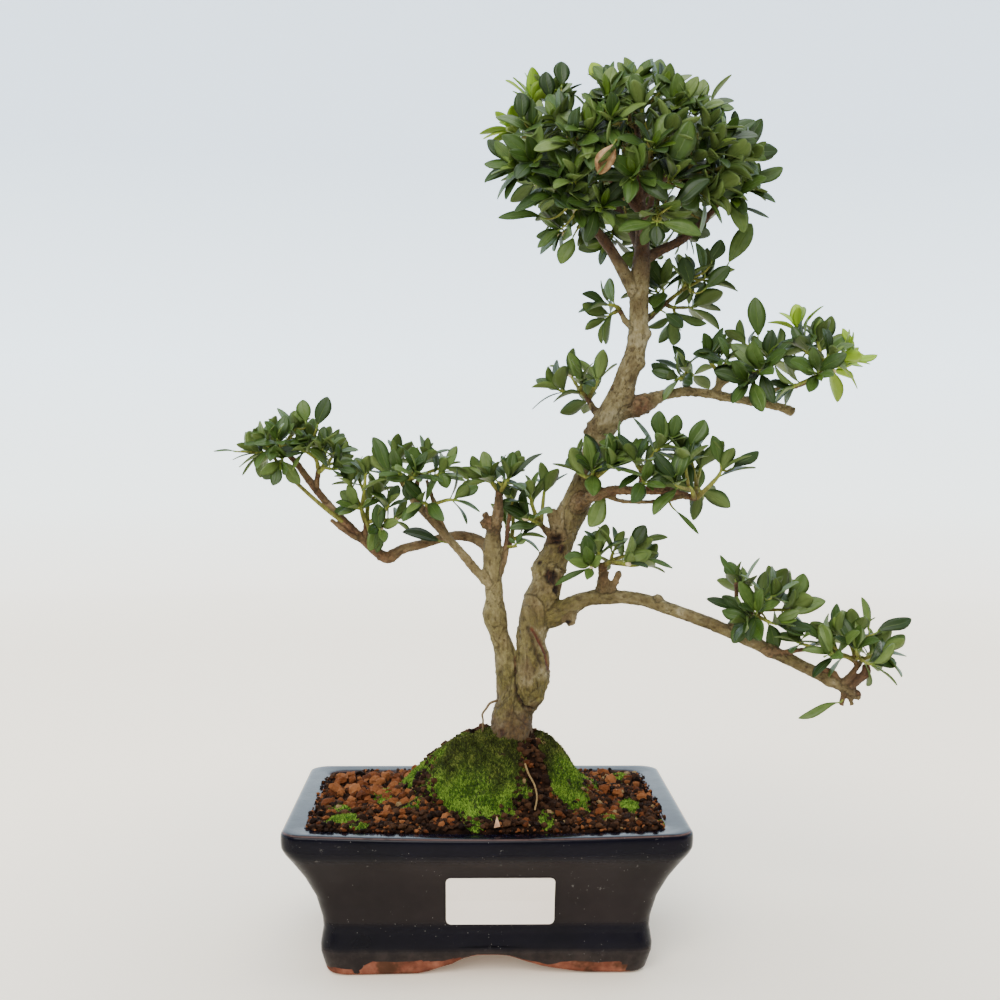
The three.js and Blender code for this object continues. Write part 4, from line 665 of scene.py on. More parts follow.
class Look:
    """A material under construction, with short ways to add nodes."""

    def __init__(self, name, **sockets):
        self.material = bpy.data.materials.new(name)
        self.material.use_nodes = True
        self.tree = self.material.node_tree
        self.shader = next(n for n in self.tree.nodes if n.type == "BSDF_PRINCIPLED")
        for socket, value in sockets.items():
            self.shader.inputs[socket.replace("_", " ")].default_value = value

    def node(self, kind, **settings):
        made = self.tree.nodes.new("ShaderNode" + kind)
        for name, value in settings.items():
            setattr(made, name, value)
        return made

    def set(self, socket, value):
        if isinstance(value, bpy.types.NodeSocket):
            self.tree.links.new(value, socket)
        else:
            socket.default_value = value

    def attribute(self, name, vector=False):
        made = self.node("Attribute", attribute_name=name)
        return made.outputs["Vector" if vector else "Fac"]

    def place(self):
        return self.node("TexCoord").outputs["Object"]

    def scaled(self, vector, scale):
        made = self.node("Mapping")
        self.set(made.inputs["Vector"], vector)
        made.inputs["Scale"].default_value = scale
        return made.outputs[0]

    def noise(self, vector, scale, detail=3.0, roughness=0.55, distortion=0.0):
        made = self.node("TexNoise")
        self.set(made.inputs["Vector"], vector)
        made.inputs["Scale"].default_value = scale
        made.inputs["Detail"].default_value = detail
        made.inputs["Roughness"].default_value = roughness
        made.inputs["Distortion"].default_value = distortion
        return made.outputs["Fac"]

    def cells(self, vector, scale):
        """The distance to the nearest of many scattered points."""
        made = self.node("TexVoronoi")
        self.set(made.inputs["Vector"], vector)
        made.inputs["Scale"].default_value = scale
        return made.outputs["Distance"]

    def math(self, operation, a, b=0.0, clamp=False):
        made = self.node("Math", operation=operation, use_clamp=clamp)
        self.set(made.inputs[0], a)
        self.set(made.inputs[1], b)
        return made.outputs[0]

    def plus(self, a, b, clamp=False):
        return self.math("ADD", a, b, clamp)

    def minus(self, a, b):
        return self.math("SUBTRACT", a, b)

    def times(self, a, b, clamp=False):
        return self.math("MULTIPLY", a, b, clamp)

    def larger(self, a, b):
        return self.math("MAXIMUM", a, b)

    def between(self, value, low, high, low_out=0.0, high_out=1.0):
        """The value taken from low..high to low_out..high_out, smoothly and no further."""
        made = self.node("MapRange", interpolation_type="SMOOTHSTEP")
        self.set(made.inputs["Value"], value)
        made.inputs["From Min"].default_value = low
        made.inputs["From Max"].default_value = high
        made.inputs["To Min"].default_value = low_out
        made.inputs["To Max"].default_value = high_out
        return made.outputs[0]

    def ramp(self, value, stops):
        made = self.node("ValToRGB")
        self.set(made.inputs[0], value)
        elements = made.color_ramp.elements
        while len(elements) < len(stops):
            elements.new(0.5)
        for element, (position, colour) in zip(elements, stops):
            element.position = position
            element.color = colour
        return made.outputs[0]

    def shades(self, value, *stops):
        """A ramp of screen colours; each stop is its position, red, green and blue."""
        return self.ramp(value, [(position, srgb(*colour)) for position, *colour in stops])

    def mix(self, share, a, b):
        made = self.node("Mix", data_type="RGBA")
        self.set(made.inputs["Factor"], share)
        self.set(made.inputs[6], a)
        self.set(made.inputs[7], b)
        return made.outputs[2]

    def part(self, vector, axis):
        made = self.node("SeparateXYZ")
        self.set(made.inputs[0], vector)
        return made.outputs[axis]

    def bump(self, height, strength, distance):
        made = self.node("Bump")
        self.set(made.inputs["Height"], height)
        made.inputs["Strength"].default_value = strength
        made.inputs["Distance"].default_value = distance
        return made.outputs[0]

    def finish(self, colour=None, roughness=None, normal=None):
        for name, value in (("Base Color", colour), ("Roughness", roughness), ("Normal", normal)):
            if value is not None:
                self.set(self.shader.inputs[name], value)
        return self.material


def foliage_look():
    look = Look("foliage", Specular_IOR_Level=0.33)
    place = look.place()
    tint, age = look.attribute("tint"), look.attribute("age")
    under, wood = look.attribute("under"), look.attribute("wood")
    across, along = look.attribute("leaf_s"), look.attribute("leaf_t")
    clouds = look.noise(place, 300, 3)
    shade = look.plus(look.times(tint, 0.8), look.times(clouds, 0.3), clamp=True)
    upper = look.shades(shade, (0.1, 24, 43, 10), (0.4, 40, 63, 17), (0.7, 62, 87, 30), (1.0, 100, 120, 58))
    lower = look.shades(shade, (0.1, 64, 82, 34), (0.6, 84, 104, 48), (1.0, 104, 124, 64))
    blade = look.mix(under, upper, lower)
    young = look.shades(shade, (0.1, 122, 168, 18), (1.0, 178, 212, 52))
    blade = look.mix(age, blade, young)
    out = look.math("ABSOLUTE", across)
    rib = look.between(out, 0.015, 0.06, 0.42, 0.0)
    stalk = look.between(along, 0.04, 0.2, 1.0, 0.0)
    rib = look.larger(look.times(rib, look.between(along, 0.3, 0.95, 0.8, 0.1)), stalk)
    blade = look.mix(rib, blade, srgb(104, 126, 48))
    edge = look.between(out, 0.92, 1.0, 0.0, 0.4)
    blade = look.mix(edge, blade, srgb(104, 126, 64))
    dry = look.attribute("dry")
    blade = look.mix(dry, blade, look.shades(clouds, (0.3, 120, 84, 52), (0.7, 186, 152, 108)))
    grain = look.noise(look.scaled(place, (1, 1, 0.35)), 900, 4)
    twig = look.shades(grain, (0.3, 52, 34, 20), (0.55, 82, 60, 34), (0.75, 108, 88, 52))
    green_twig = look.shades(grain, (0.3, 96, 104, 36), (0.7, 150, 158, 66))
    twig = look.mix(look.attribute("fresh"), twig, green_twig)
    bud = look.attribute("bud")
    twig = look.mix(bud, twig, srgb(226, 208, 164))
    colour = look.mix(wood, blade, twig)
    matt = look.mix(under, grey(0.46), grey(0.62))
    roughness = look.mix(wood, matt, grey(0.75))
    side_veins = look.times(look.minus(along, look.times(out, 0.16)), 52)
    groove = look.between(out, 0.0, 0.1, 0.0, 1.0)
    relief = look.plus(groove, look.times(look.math("SINE", side_veins), 0.06))
    relief = look.plus(relief, look.times(clouds, 0.5))
    relief = look.times(relief, look.minus(1.0, wood))
    relief = look.plus(relief, look.times(grain, look.times(wood, 1.2)))
    return look.finish(colour, roughness, look.bump(relief, 0.5, 0.0003))


def bark_look():
    look = Look("bark", Specular_IOR_Level=0.3)
    place = look.place()
    grown = look.attribute("grown", vector=True)
    broad = look.noise(place, 60, 4, 0.65)
    fine = look.noise(grown, 620, 5, 0.7)
    plates = look.noise(grown, 240, 6, 0.7, 0.8)
    weathered = look.plus(look.times(broad, 0.62), look.times(plates, 0.4))
    old = look.shades(
        weathered, (0.36, 58, 44, 26), (0.45, 92, 79, 50), (0.55, 124, 112, 77), (0.66, 158, 149, 117)
    )
    algae = look.times(look.attribute("algae"), look.between(look.noise(place, 90, 4, 0.6), 0.36, 0.6))
    green = look.shades(fine, (0.3, 54, 48, 18), (0.5, 88, 80, 36), (0.7, 122, 114, 60))
    old = look.mix(look.times(algae, 0.9), old, green)
    # paler bark, on branch D painted light where the crown would shade it
    paler_and_painted_light = look.shades(fine, (0.3, 112, 98, 60), (0.52, 150, 138, 94), (0.7, 182, 170, 128))
    old = look.mix(look.attribute("paler_and_painted_light"), old, paler_and_painted_light)
    red = look.shades(fine, (0.3, 60, 37, 23), (0.5, 104, 73, 50), (0.72, 146, 114, 84))
    reddish = look.times(look.attribute("reddish"), look.between(plates, 0.32, 0.56, 0.3, 1.0))
    colour = look.mix(reddish, old, red)
    pits = look.between(look.cells(grown, 380), 0.14, 0.24, 1.0, 0.0)
    pits = look.times(pits, look.between(look.noise(place, 200, 2), 0.46, 0.58))
    colour = look.mix(look.times(pits, 0.4), colour, srgb(66, 46, 26))
    # the bark's own dark cracks, with painted shade added where the relief is pushed in
    cracks = look.between(look.noise(grown, 340, 5, 0.65, 1.4), 0.36, 0.43, 0.45, 0.0)
    cracks = look.larger(cracks, look.times(look.attribute("hollow_shade"), 0.4))
    colour = look.mix(cracks, colour, srgb(58, 40, 20))
    # scars and furrows: their own dark wood, with painted shade in their hollows and in the creases between
    # plates
    scar_and_shade = look.shades(fine, (0.34, 14, 8, 5), (0.5, 36, 22, 14), (0.7, 84, 58, 38))
    colour = look.mix(look.attribute("scar_and_shade"), colour, scar_and_shade)
    # painted shade in the crown and under the sprays; the same darker tone at the trunk's foot
    shaded = look.shades(fine, (0.32, 42, 26, 17), (0.6, 84, 58, 40))
    colour = look.mix(look.attribute("dark"), colour, shaded)
    wound = look.shades(fine, (0.35, 60, 25, 17), (0.65, 112, 60, 44))
    colour = look.mix(look.attribute("wound"), colour, wound)
    relief = look.plus(plates, look.times(fine, 0.7))
    relief = look.minus(relief, look.times(pits, 0.5))
    relief = look.minus(relief, look.times(cracks, 0.8))
    return look.finish(colour, look.between(fine, 0.3, 0.7, 0.6, 0.9), look.bump(relief, 1.0, 0.0015))


def soil_look():
    look = Look("soil", Specular_IOR_Level=0.1)
    place = look.place()
    tint, clay = look.attribute("tint"), look.attribute("clay")
    rough_noise = look.noise(place, 900, 4, 0.7)
    clouds = look.noise(place, 140, 3)
    tint = look.times(tint, 0.6)
    damp, gritty = look.plus(tint, look.times(clouds, 0.4)), look.plus(tint, look.times(rough_noise, 0.4))
    dark = look.shades(damp, (0.2, 20, 11, 7), (0.5, 44, 27, 17), (0.85, 80, 53, 34))
    baked = look.shades(gritty, (0.15, 68, 34, 17), (0.5, 112, 63, 33), (0.85, 146, 93, 55))
    colour = look.mix(clay, dark, baked)
    straw = look.shades(rough_noise, (0.3, 120, 96, 62), (0.7, 160, 136, 96))
    colour = look.mix(look.attribute("straw"), colour, straw)
    return look.finish(colour, 0.95, look.bump(rough_noise, 1.0, 0.0014))


def moss_look():
    look = Look("moss", Specular_IOR_Level=0.15)
    tint, tip, dry = look.attribute("tint"), look.attribute("tip"), look.attribute("dry")
    fresh = look.shades(tint, (0.0, 32, 56, 12), (0.5, 70, 106, 26), (1.0, 136, 168, 62))
    olive = look.shades(tint, (0.0, 34, 36, 10), (0.5, 68, 78, 26), (1.0, 122, 126, 60))
    # painted shade: the feet of the shoots and the cushion under them are darkened towards near black
    colour = look.mix(tip, srgb(18, 18, 4), look.mix(dry, fresh, olive))
    bare = look.attribute("bare")
    ground = look.shades(look.noise(look.place(), 500, 4), (0.3, 16, 9, 5), (0.7, 48, 30, 16))
    return look.finish(look.mix(bare, colour, ground), 0.8)


def glaze_look():
    look = Look("glaze", Specular_IOR_Level=0.1)
    place = look.place()
    z = look.part(place, "Z")
    clouds = look.noise(place, 28, 3)
    speckle = look.noise(place, 700, 2)
    navy = look.shades(clouds, (0.3, 6, 6, 14), (0.7, 11, 10, 21))
    # painted reflection: the flaring wall faces down to the cream table, and its brown stands for the
    # table's reflection; the foot band's brown is its own dusty glaze
    brown_and_table_reflection = look.shades(clouds, (0.3, 25, 21, 22), (0.7, 35, 30, 31))
    wall = look.times(look.between(z, 0.023, 0.027), look.between(z, 0.057, 0.0625, 1.0, 0.0))
    foot = look.between(z, 0.0105, 0.014, 1.0, 0.0)
    matt = look.larger(wall, foot)
    colour = look.mix(matt, navy, brown_and_table_reflection)
    thin = look.times(look.attribute("break"), look.between(look.noise(place, 120, 3), 0.3, 0.5, 0.5, 1.0))
    colour = look.mix(thin, colour, srgb(80, 60, 56))
    grime = look.times(foot, look.between(look.noise(place, 90, 5, 0.7), 0.36, 0.62, 0.1, 0.6))
    colour = look.mix(grime, colour, srgb(58, 51, 48))
    dust = look.between(look.cells(place, 420), 0.05, 0.1, 1.0, 0.0)
    dust = look.times(dust, look.between(look.noise(place, 60, 2), 0.48, 0.6))
    scuff = look.times(look.between(look.noise(place, 260, 5, 0.75), 0.62, 0.7), 0.5)
    scuff = look.times(scuff, look.between(look.noise(place, 34, 2), 0.5, 0.62))
    colour = look.mix(look.larger(dust, scuff), colour, srgb(112, 110, 106))
    bare = look.attribute("bare")
    bare = look.between(look.plus(bare, look.times(look.noise(place, 320, 3), 0.3)), 0.6, 0.7)
    clay = look.noise(place, 130, 4, 0.6)
    clay = look.shades(clay, (0.3, 78, 44, 33), (0.5, 114, 67, 51), (0.7, 138, 88, 69))
    clay = look.mix(look.between(look.noise(place, 46, 4, 0.6), 0.5, 0.6, 0.0, 0.8), clay, srgb(50, 36, 24))
    colour = look.mix(bare, colour, clay)
    gloss = look.plus(look.times(speckle, 0.06), 0.14)
    gloss = look.plus(gloss, look.times(matt, 0.16))
    roughness = look.mix(bare, gloss, grey(0.85))
    relief = look.plus(look.noise(place, 55, 3), look.times(speckle, 0.06))
    return look.finish(colour, roughness, look.bump(relief, 0.12, 0.0012))


def plain_look(name, colours, scale, roughness, bump_height=0.0):
    look = Look(name)
    grain = look.noise(look.place(), scale, 4)
    colour = look.ramp(grain, [(0.35, colours[0]), (0.65, colours[1])])
    return look.finish(colour, roughness, look.bump(grain, 0.3, bump_height) if bump_height else None)


# Leafy sprays: the same shoots as in the solid model, with more and finer leaves


def bend(start, control, end, t):
    return (1 - t) ** 2 * start + 2 * t * (1 - t) * control + t * t * end


def apart(a, b):
    return float(np.linalg.norm(a - b))


def bunches(tips):
    """Sorts tips into up to three bunches, each round a middle of its own."""
    middle = middle_of(tips)
    first = max(tips, key=lambda tip: apart(tip, middle))
    second = max(tips, key=lambda tip: apart(tip, first))
    third = max(tips, key=lambda tip: min(apart(tip, first), apart(tip, second)))
    centres = [first, second, third]
    groups = []
    for _ in range(BUNCH_ROUNDS):
        groups = [[] for _ in centres]
        for tip in tips:
            distances = [apart(centre, tip) for centre in centres]
            groups[distances.index(min(distances))].append(tip)
        groups = [group for group in groups if group]
        centres = [middle_of(group) for group in groups]
    return groups


def forks(start, tips):
    """Where the shoots to the tips fork, each fork with those that go on from it."""
    groups = [[tip] for tip in tips] if len(tips) <= MOST_SHOOTS else bunches(tips)
    found = []
    for group in groups:
        if len(group) == 1:
            found.append({"at": group[0], "carries": 1, "onward": []})
            continue
        at = start + (middle_of(group) - start) * FORK_PLACE
        found.append({"at": at, "carries": len(group), "onward": forks(at, group)})
    return found


def slots_of(rings):
    """The four places on a shoot's end where the next shoots can start: its three sides and its tip."""
    low, high = rings[-2:]
    axis = unit(middle_of(high) - middle_of(low))
    centre = middle_of([*low, *high])
    slots = []
    for i in range(3):
        j = (i + 1) % 3
        at = middle_of([low[i], low[j], high[j], high[i]])
        outward = at - centre
        outward = unit(outward - axis * np.dot(outward, axis))
        slots.append({"at": at, "heading": unit(outward + 0.5 * axis), "left": low[i] - low[j]})
    end = middle_of(high)
    slots.append({"at": end, "heading": axis, "left": high[0] - end})
    return slots


def take_slots(slots, shoots):
    """Gives each shoot the free place that looks its way most."""
    taken = [None] * len(slots)
    pairs = [
        (np.dot(unit(shoot["at"] - slot["at"]), slot["heading"]), shoot, i)
        for shoot in shoots
        for i, slot in enumerate(slots)
    ]
    pairs.sort(key=lambda pair: -pair[0])
    for _, shoot, i in pairs:
        if taken[i] is None and not any(shoot is other for other in taken):
            taken[i] = shoot
    return taken


def shoot_route(slot, shoot, bow):
    length = apart(slot["at"], shoot["at"])
    control = slot["at"] + SHOOT_BOW * length * slot["heading"] + bow
    thick = min(SHOOT_MOST_RADIUS, SHOOT_RADIUS + SHOOT_SWELL * (shoot["carries"] - 1))
    stops = [0, max(0.5, 1 - FORK_LENGTH / length), 1]
    if length > LONG_SHOOT:
        stops.insert(1, 0.4)
    return [(*bend(slot["at"], control, shoot["at"], t), thick) for t in stops]


def leaves_of(route, random, count=LEAVES_A_SHOOT):
    """The leaves round a shoot's tip, the later ones further down and more spread."""
    start, tip = (np.array(p[:3]) for p in route[-2:])
    axis = unit(unit(tip - start) + LEAF_LIFT["axis"] * UP)
    side = unit(np.cross(axis, vec(0.3, 1, 0.2)))
    other = np.cross(axis, side)
    first_turn = random.next() * 2 * math.pi
    leaves = []
    for k in range(count):
        turn = first_turn + k * GOLDEN_ANGLE + 0.5 * (random.next() - 0.5)
        spread = LEAF_SPREAD["first"] + LEAF_SPREAD["more"] * k + LEAF_SPREAD["vary"] * (random.next() - 0.5)
        grown = LEAF_GROWTH["first"] + LEAF_GROWTH["more"] * k + LEAF_GROWTH["vary"] * (random.next() - 0.5)
        outward = side * math.cos(turn) + other * math.sin(turn)
        along = axis * math.cos(spread) + outward * math.sin(spread)
        along = unit(along + LEAF_LIFT["blade"] * UP)
        face = axis + LEAF_LIFT["face"] * UP
        face = unit(face - along * np.dot(face, along))
        size = LEAF_LENGTH * grown
        width = size * LEAF_WIDTH / LEAF_LENGTH
        leaves.append({"along": along, "face": face, "length": size, "width": width, "k": k})
    return leaves


def rounded(at):
    return tuple(int(math.floor(c + 0.5)) for c in at)


def grow_shoot(slot, shoot, name):
    key = (name, rounded(shoot["at"]))
    tries = BOWED.get(key, 0)
    push = 0 if tries == 0 else 1.5 + 0.8 * tries
    angle = tries * GOLDEN_ANGLE
    bow = push * vec(math.cos(angle), math.sin(angle), 0.5)
    route = shoot_route(slot, shoot, bow)
    rings = limb_rings(route, 3, slot["left"])[1:]
    return {"route": route, "rings": rings, "extra": key in NOT_IN_SOLIDS, "carries": shoot["carries"]}


def grow_onward(shoot, onward, name):
    shoot["slots"] = slots_of(shoot["rings"])
    shoot["grown"] = []
    for slot, following in zip(shoot["slots"], take_slots(shoot["slots"], onward)):
        if following is None:
            shoot["grown"].append(None)
            continue
        child = grow_shoot(slot, following, name)
        child["extra"] = child["extra"] or shoot.get("extra", False)
        shoot["grown"].append(grow_onward(child, following["onward"], name))
    return shoot


def crown_tips():
    def on_dome(x, z, depth):
        out = 1 - ((x - CROWN["x"]) / CROWN["half_x"]) ** 2 - ((z - CROWN["z"]) / CROWN["half_z"]) ** 2
        return vec(x, CROWN["y"] + depth * math.sqrt(max(out, 0)), z)

    tips = [on_dome(x, z, -CROWN["front"]) for x, z in CROWN_FRONT_TIPS]
    tips += [vec(*tip) for tip in CROWN_MIDDLE_TIPS]
    for i in range(CROWN_BACK_TIPS):
        out = math.sqrt((i + 0.5) / CROWN_BACK_TIPS)
        angle = i * GOLDEN_ANGLE
        x = CROWN["x"] + CROWN_BACK["half_x"] * out * math.cos(angle)
        z = CROWN["z"] + CROWN_BACK["half_z"] * out * math.sin(angle)
        tips.append(on_dome(x, z, CROWN["back"]))
    return tips


def branch_end(name):
    curve = Curve(WOOD[name])
    return curve.point(1), curve.tangent(1), WOOD[name][-1][3]


def all_sprays():
    sprays = {name: (on, [vec(*tip) for tip in tips]) for name, (on, tips) in SPRAYS.items()}
    crown = {name: (branch, []) for name, branch in CROWN_BRANCHES.items()}
    ends = {name: branch_end(branch)[0] for name, branch in CROWN_BRANCHES.items()}
    for tip in crown_tips():
        nearest = min(crown, key=lambda name: apart(ends[name], tip))
        crown[nearest][1].append(tip)
    return {**sprays, **crown}


# one leaf: parts of its length and of its width, from the blade's foot to its tip
BLADE = [
    (0.1, 0.07), (0.19, 0.19), (0.31, 0.345), (0.44, 0.455), (0.57, 0.5), (0.7, 0.475), (0.82, 0.38),
    (0.92, 0.235), (0.975, 0.11),
]
ACROSS = (-1.0, -0.5, 0.0, 0.5, 1.0)
BLADE_THICKNESS = 0.4
STALK_RADIUS = 0.42


def leaf_faces():
    """The faces of a closed blade: its top, then its underside, which shares the rim."""
    wide, rows = len(ACROSS), len(BLADE)
    top = [[r * wide + c for c in range(wide)] for r in range(rows)]
    tip = rows * wide
    inner = [[tip + 1 + r * (wide - 2) + c for c in range(wide - 2)] for r in range(rows)]
    below = [[top[r][0], *inner[r], top[r][-1]] for r in range(rows)]
    faces = []
    for r in range(rows - 1):
        for c in range(wide - 1):
            faces.append((top[r][c], top[r][c + 1], top[r + 1][c + 1], top[r + 1][c]))
            faces.append((below[r][c], below[r + 1][c], below[r + 1][c + 1], below[r][c + 1]))
    for c in range(wide - 1):
        faces.append((top[-1][c], top[-1][c + 1], tip))
        faces.append((below[-1][c], tip, below[-1][c + 1]))
        faces.append((top[0][c], below[0][c], below[0][c + 1], top[0][c + 1]))
    clean = []
    for face in faces:
        corners = list(dict.fromkeys(face))
        if len(corners) > 2:
            clean.append(tuple(corners))
    return clean


LEAF_FACES = leaf_faces()


def add_leaf(skin, leaf, random, age, light=0.0):
    root, along, face = leaf["root"], leaf["along"], leaf["face"]
    across = np.cross(along, face)
    length, width = leaf["length"], leaf["width"]
    fold = random.between(0.05, 0.28)
    curl = random.between(-0.16, 0.06) * length
    twist = random.between(-0.25, 0.25)
    waver = random.between(-0.04, 0.04) * length
    rows = []
    for part, out in BLADE:
        arch = 0.05 * length * math.sin(math.pi * part) + curl * part * part
        middle = root + part * length * along + arch * face + waver * math.sin(2 * math.pi * part) * across
        turn = twist * part
        lateral = across * math.cos(turn) + face * math.sin(turn)
        up = face * math.cos(turn) - across * math.sin(turn)
        rows.append((part, middle, lateral, up, out * width))
    top, below = [], []
    for part, middle, lateral, up, half in rows:
        for s in ACROSS:
            top.append(middle + s * half * lateral + fold * abs(s) ** 1.3 * half * up)
        for s in ACROSS[1:-1]:
            lift = fold * abs(s) ** 1.3 * half - BLADE_THICKNESS * (1 - 0.4 * abs(s))
            below.append(middle + s * half * lateral + lift * up)
    tip = root + length * along + curl * face
    points = np.array([*top, tip, *below])
    count_top, count_below = len(top) + 1, len(below)
    part_of = [part for part, _ in BLADE]
    t = [p for p in part_of for _ in ACROSS] + [1.0] + [p for p in part_of for _ in ACROSS[1:-1]]
    s = list(ACROSS) * len(BLADE) + [0.0] + list(ACROSS[1:-1]) * len(BLADE)
    # the lighter tint of some sprays is partly their own paler green and partly painted sheen
    values = {
        "leaf_t": t,
        "leaf_s": s,
        "under": [0.0] * count_top + [1.0] * count_below,
        "tint": light + (1 - light) * random.next(),
        "age": age,
        "dry": leaf.get("dry", 0.0),
    }
    skin.add(points, LEAF_FACES, **values)
    foot = rows[0][1]
    stalk = [root - 0.2 * along, root + 0.05 * length * along + 0.1 * face, foot + 0.3 * along]
    radii = [STALK_RADIUS * 1.25, STALK_RADIUS, STALK_RADIUS * 0.9]
    skin.tube(stalk, radii, 5, across, tint=0.7, age=age)


def add_twig(skin, centres, radii, fresh, sides=7):
    skin.tube(centres, radii, sides, wood=1.0, fresh=fresh, tint=0.5)


def add_bud(skin, at, along, radius, length, age, cream=0.0):
    along = unit(along)
    centres = [at + part * length * along for part in (-0.15, 0.3, 0.7, 1.0)]
    radii = [0.7 * radius, radius, 0.6 * radius, 0.12 * radius]
    skin.tube(centres, radii, 6, wood=cream, bud=cream, tint=0.9, age=max(age, 0.4))


def youth(at):
    found = 0.0
    for x, z, reach, how in YOUNG:
        if at[1] < 30 and math.hypot(at[0] - x, at[2] - z) < reach:
            found = max(found, how)
    return found


def twig_samples(route, step=1.6):
    curve = Curve(route)
    count = max(3, int(curve.length() / step))
    return [curve.point(i / count) for i in range(count + 1)]


FOLIAGE_VALUES = ("leaf_t", "leaf_s", "under", "tint", "age", "wood", "fresh", "bud", "dry")
CREAM_BUDS = 0.12
THICKEST_WITH_LEAVES = 5
# points of the twigs, on which the single leaves grow
joints = []


class Spray:
    """One spray under construction: its mesh, its streams of random numbers and how leafy it is."""

    def __init__(self, name, seed):
        self.name = name
        self.skin = Skin(*FOLIAGE_VALUES)
        self.main = Stream(seed)
        self.spare = Stream(seed * 7 + 1)
        kind = "crown" if name.startswith("crown") else name
        self.leafy = {**USUAL_SPRAY, **LEAFY.get(kind, LEAFY["plain"])}
        self.light = self.leafy["light"]

    def dress(self, shoot, start_radius):
        """The twig, leaves and bud of one shoot, then of all the shoots that it carries."""
        route = shoot["route"]
        is_fork = any(shoot["grown"])
        leaves = leaves_of(route, self.spare if shoot.get("extra") else self.main)
        centres = twig_samples(route)
        axis = unit(centres[-1] - centres[-2])
        end_radius = 0.55 if not is_fork else 0.72 + 0.09 * shoot["carries"]
        share = np.linspace(0, 1, len(centres))
        radii = start_radius + (end_radius - start_radius) * share
        nodes = 1 + 0.25 * np.maximum(0, np.sin(np.arange(len(centres)) * 2.1 + self.spare.next() * 6)) ** 3
        fresh = share * 1.2 + self.leafy["fresh"] - 0.2 * (shoot["carries"] - 1)
        add_twig(self.skin, centres, radii * nodes, np.clip(fresh, 0, 1))
        joints.extend(centres)
        age = youth(centres[-1])
        if not is_fork:
            self.tip_leaves(route, leaves, centres[-1], axis, age)
        self.twig_leaves(centres, axis, is_fork, age)
        for child in shoot["grown"]:
            if child:
                self.dress(child, end_radius)

    def tip_leaves(self, route, leaves, tip, axis, age):
        random, size = self.spare, self.leafy["size"]
        for leaf in leaves:
            if leaf["k"] > 2 and random.next() < self.leafy["drop"]:
                continue
            leaf["root"] = tip - axis * (0.4 + 0.8 * leaf["k"])
            leaf["length"] *= size
            leaf["width"] *= size * self.leafy["wide"] * random.between(0.88, 1.14)
            add_leaf(self.skin, leaf, random, age * (1.0 if leaf["k"] < 4 else 0.6), self.light)
        for leaf in leaves_of(route, random, self.leafy["small"]):
            leaf["root"] = tip - axis * 0.3
            leaf["length"] *= size * random.between(0.5, 0.85)
            leaf["width"] = leaf["length"] * 0.38
            add_leaf(self.skin, leaf, random, max(age, 0.12), self.light)
        cream = 1.0 if random.next() < CREAM_BUDS else 0.0
        add_bud(self.skin, tip, axis, 0.75 + 0.5 * cream, 2.4 + cream, age, cream)

    def twig_leaves(self, centres, axis, is_fork, age):
        """Single leaves along the twig."""
        random = self.spare
        length = apart(centres[0], centres[-1])
        number = self.leafy["along"] if length > 8 else 1
        start_turn = random.next() * 2 * math.pi
        for i in range(number):
            part = 0.8 - 0.5 * i / max(number, 2)
            if random.next() < self.leafy["out"] + (0.12 if is_fork else 0):
                continue
            at = centres[int(part * (len(centres) - 1))]
            turn = start_turn + i * GOLDEN_ANGLE
            side, other = across_of(axis, vec(0.3, 1, 0.2))
            outward = side * math.cos(turn) + other * math.sin(turn)
            spread = random.between(0.8, 1.25)
            along = unit(axis * math.cos(spread) + outward * math.sin(spread) + 0.2 * UP)
            face = axis + 0.5 * UP
            face = unit(face - along * np.dot(face, along))
            size = random.between(14, 20) * self.leafy["size"]
            width = size * random.between(0.34, 0.46)
            leaf = {"root": at, "along": along, "face": face, "length": size, "width": width}
            add_leaf(self.skin, leaf, random, 0.6 * age, self.light)


def spray(name, branch, tips, seed, material):
    at, along, radius = branch_end(branch)
    steps = ((0.3, 1), (STEM - FORK_LENGTH, 1), (STEM, 0.9))
    route = [(*(at + far * along), part * radius) for far, part in steps]
    rings = limb_rings(route, 3, (1, 0, 0))
    stem = {"route": route, "rings": rings, "carries": len(tips)}
    grow_onward(stem, forks(np.array(route[2][:3]), tips), name)
    made = Spray(name, seed)
    stem_centres = [at - 0.6 * along, at + 1.2 * along, at + STEM * along]
    add_twig(made.skin, stem_centres, [radius, radius, 0.85 * radius], 0.0, 8)
    leaves_of(route, made.main)
    for child in stem["grown"]:
        if child:
            made.dress(child, min(0.85 * radius, 1.3))
    piece = mesh_object("spray_" + name + "_look", made.skin, material)
    hand_in(piece, "spray_" + name)


def tree_of(points):
    """A search tree of points."""
    tree = kdtree.KDTree(len(points))
    for i, point in enumerate(points):
        tree.insert(Vector(point), i)
    tree.balance()
    return tree


def leaf_twig(skin, start, root, along, share, fresh):
    """A short twig from the wood to a leaf's foot, where it comes in along the leaf."""
    gap = apart(start, root)
    control = root - share * gap * along
    centres = [bend(start, control, root, t) for t in np.linspace(0, 1, max(3, int(gap / 1.5)))]
    add_twig(skin, centres, np.linspace(0.7, 0.42, len(centres)), fresh, 6)


def inner_leaves(skin, wood, tree):
    """Leaves in the middle of the crown, each on a short twig from the nearest wood."""
    random = Stream(INNER_LEAVES["seed"])
    middle, half = vec(*INNER_LEAVES["middle"]), vec(*INNER_LEAVES["half"])
    for _ in range(INNER_LEAVES["number"]):
        away = vec(random.between(-1, 1), random.between(-1, 1), random.between(-1, 1))
        root = middle + half * away
        start = wood[tree.find(Vector(root))[1]]
        gap = apart(start, root)
        if gap > 16 or gap < 0.5:
            continue
        along = unit(0.5 * (root - start) / gap + 0.6 * away + 0.5 * UP)
        leaf_twig(skin, start, root, along, 0.4, 0.3)
        face = unit(UP - along * np.dot(UP, along))
        length = random.between(14, 19)
        leaf = {"root": root, "along": along, "face": face, "length": length, "width": 0.42 * length}
        add_leaf(skin, leaf, random, 0.0)


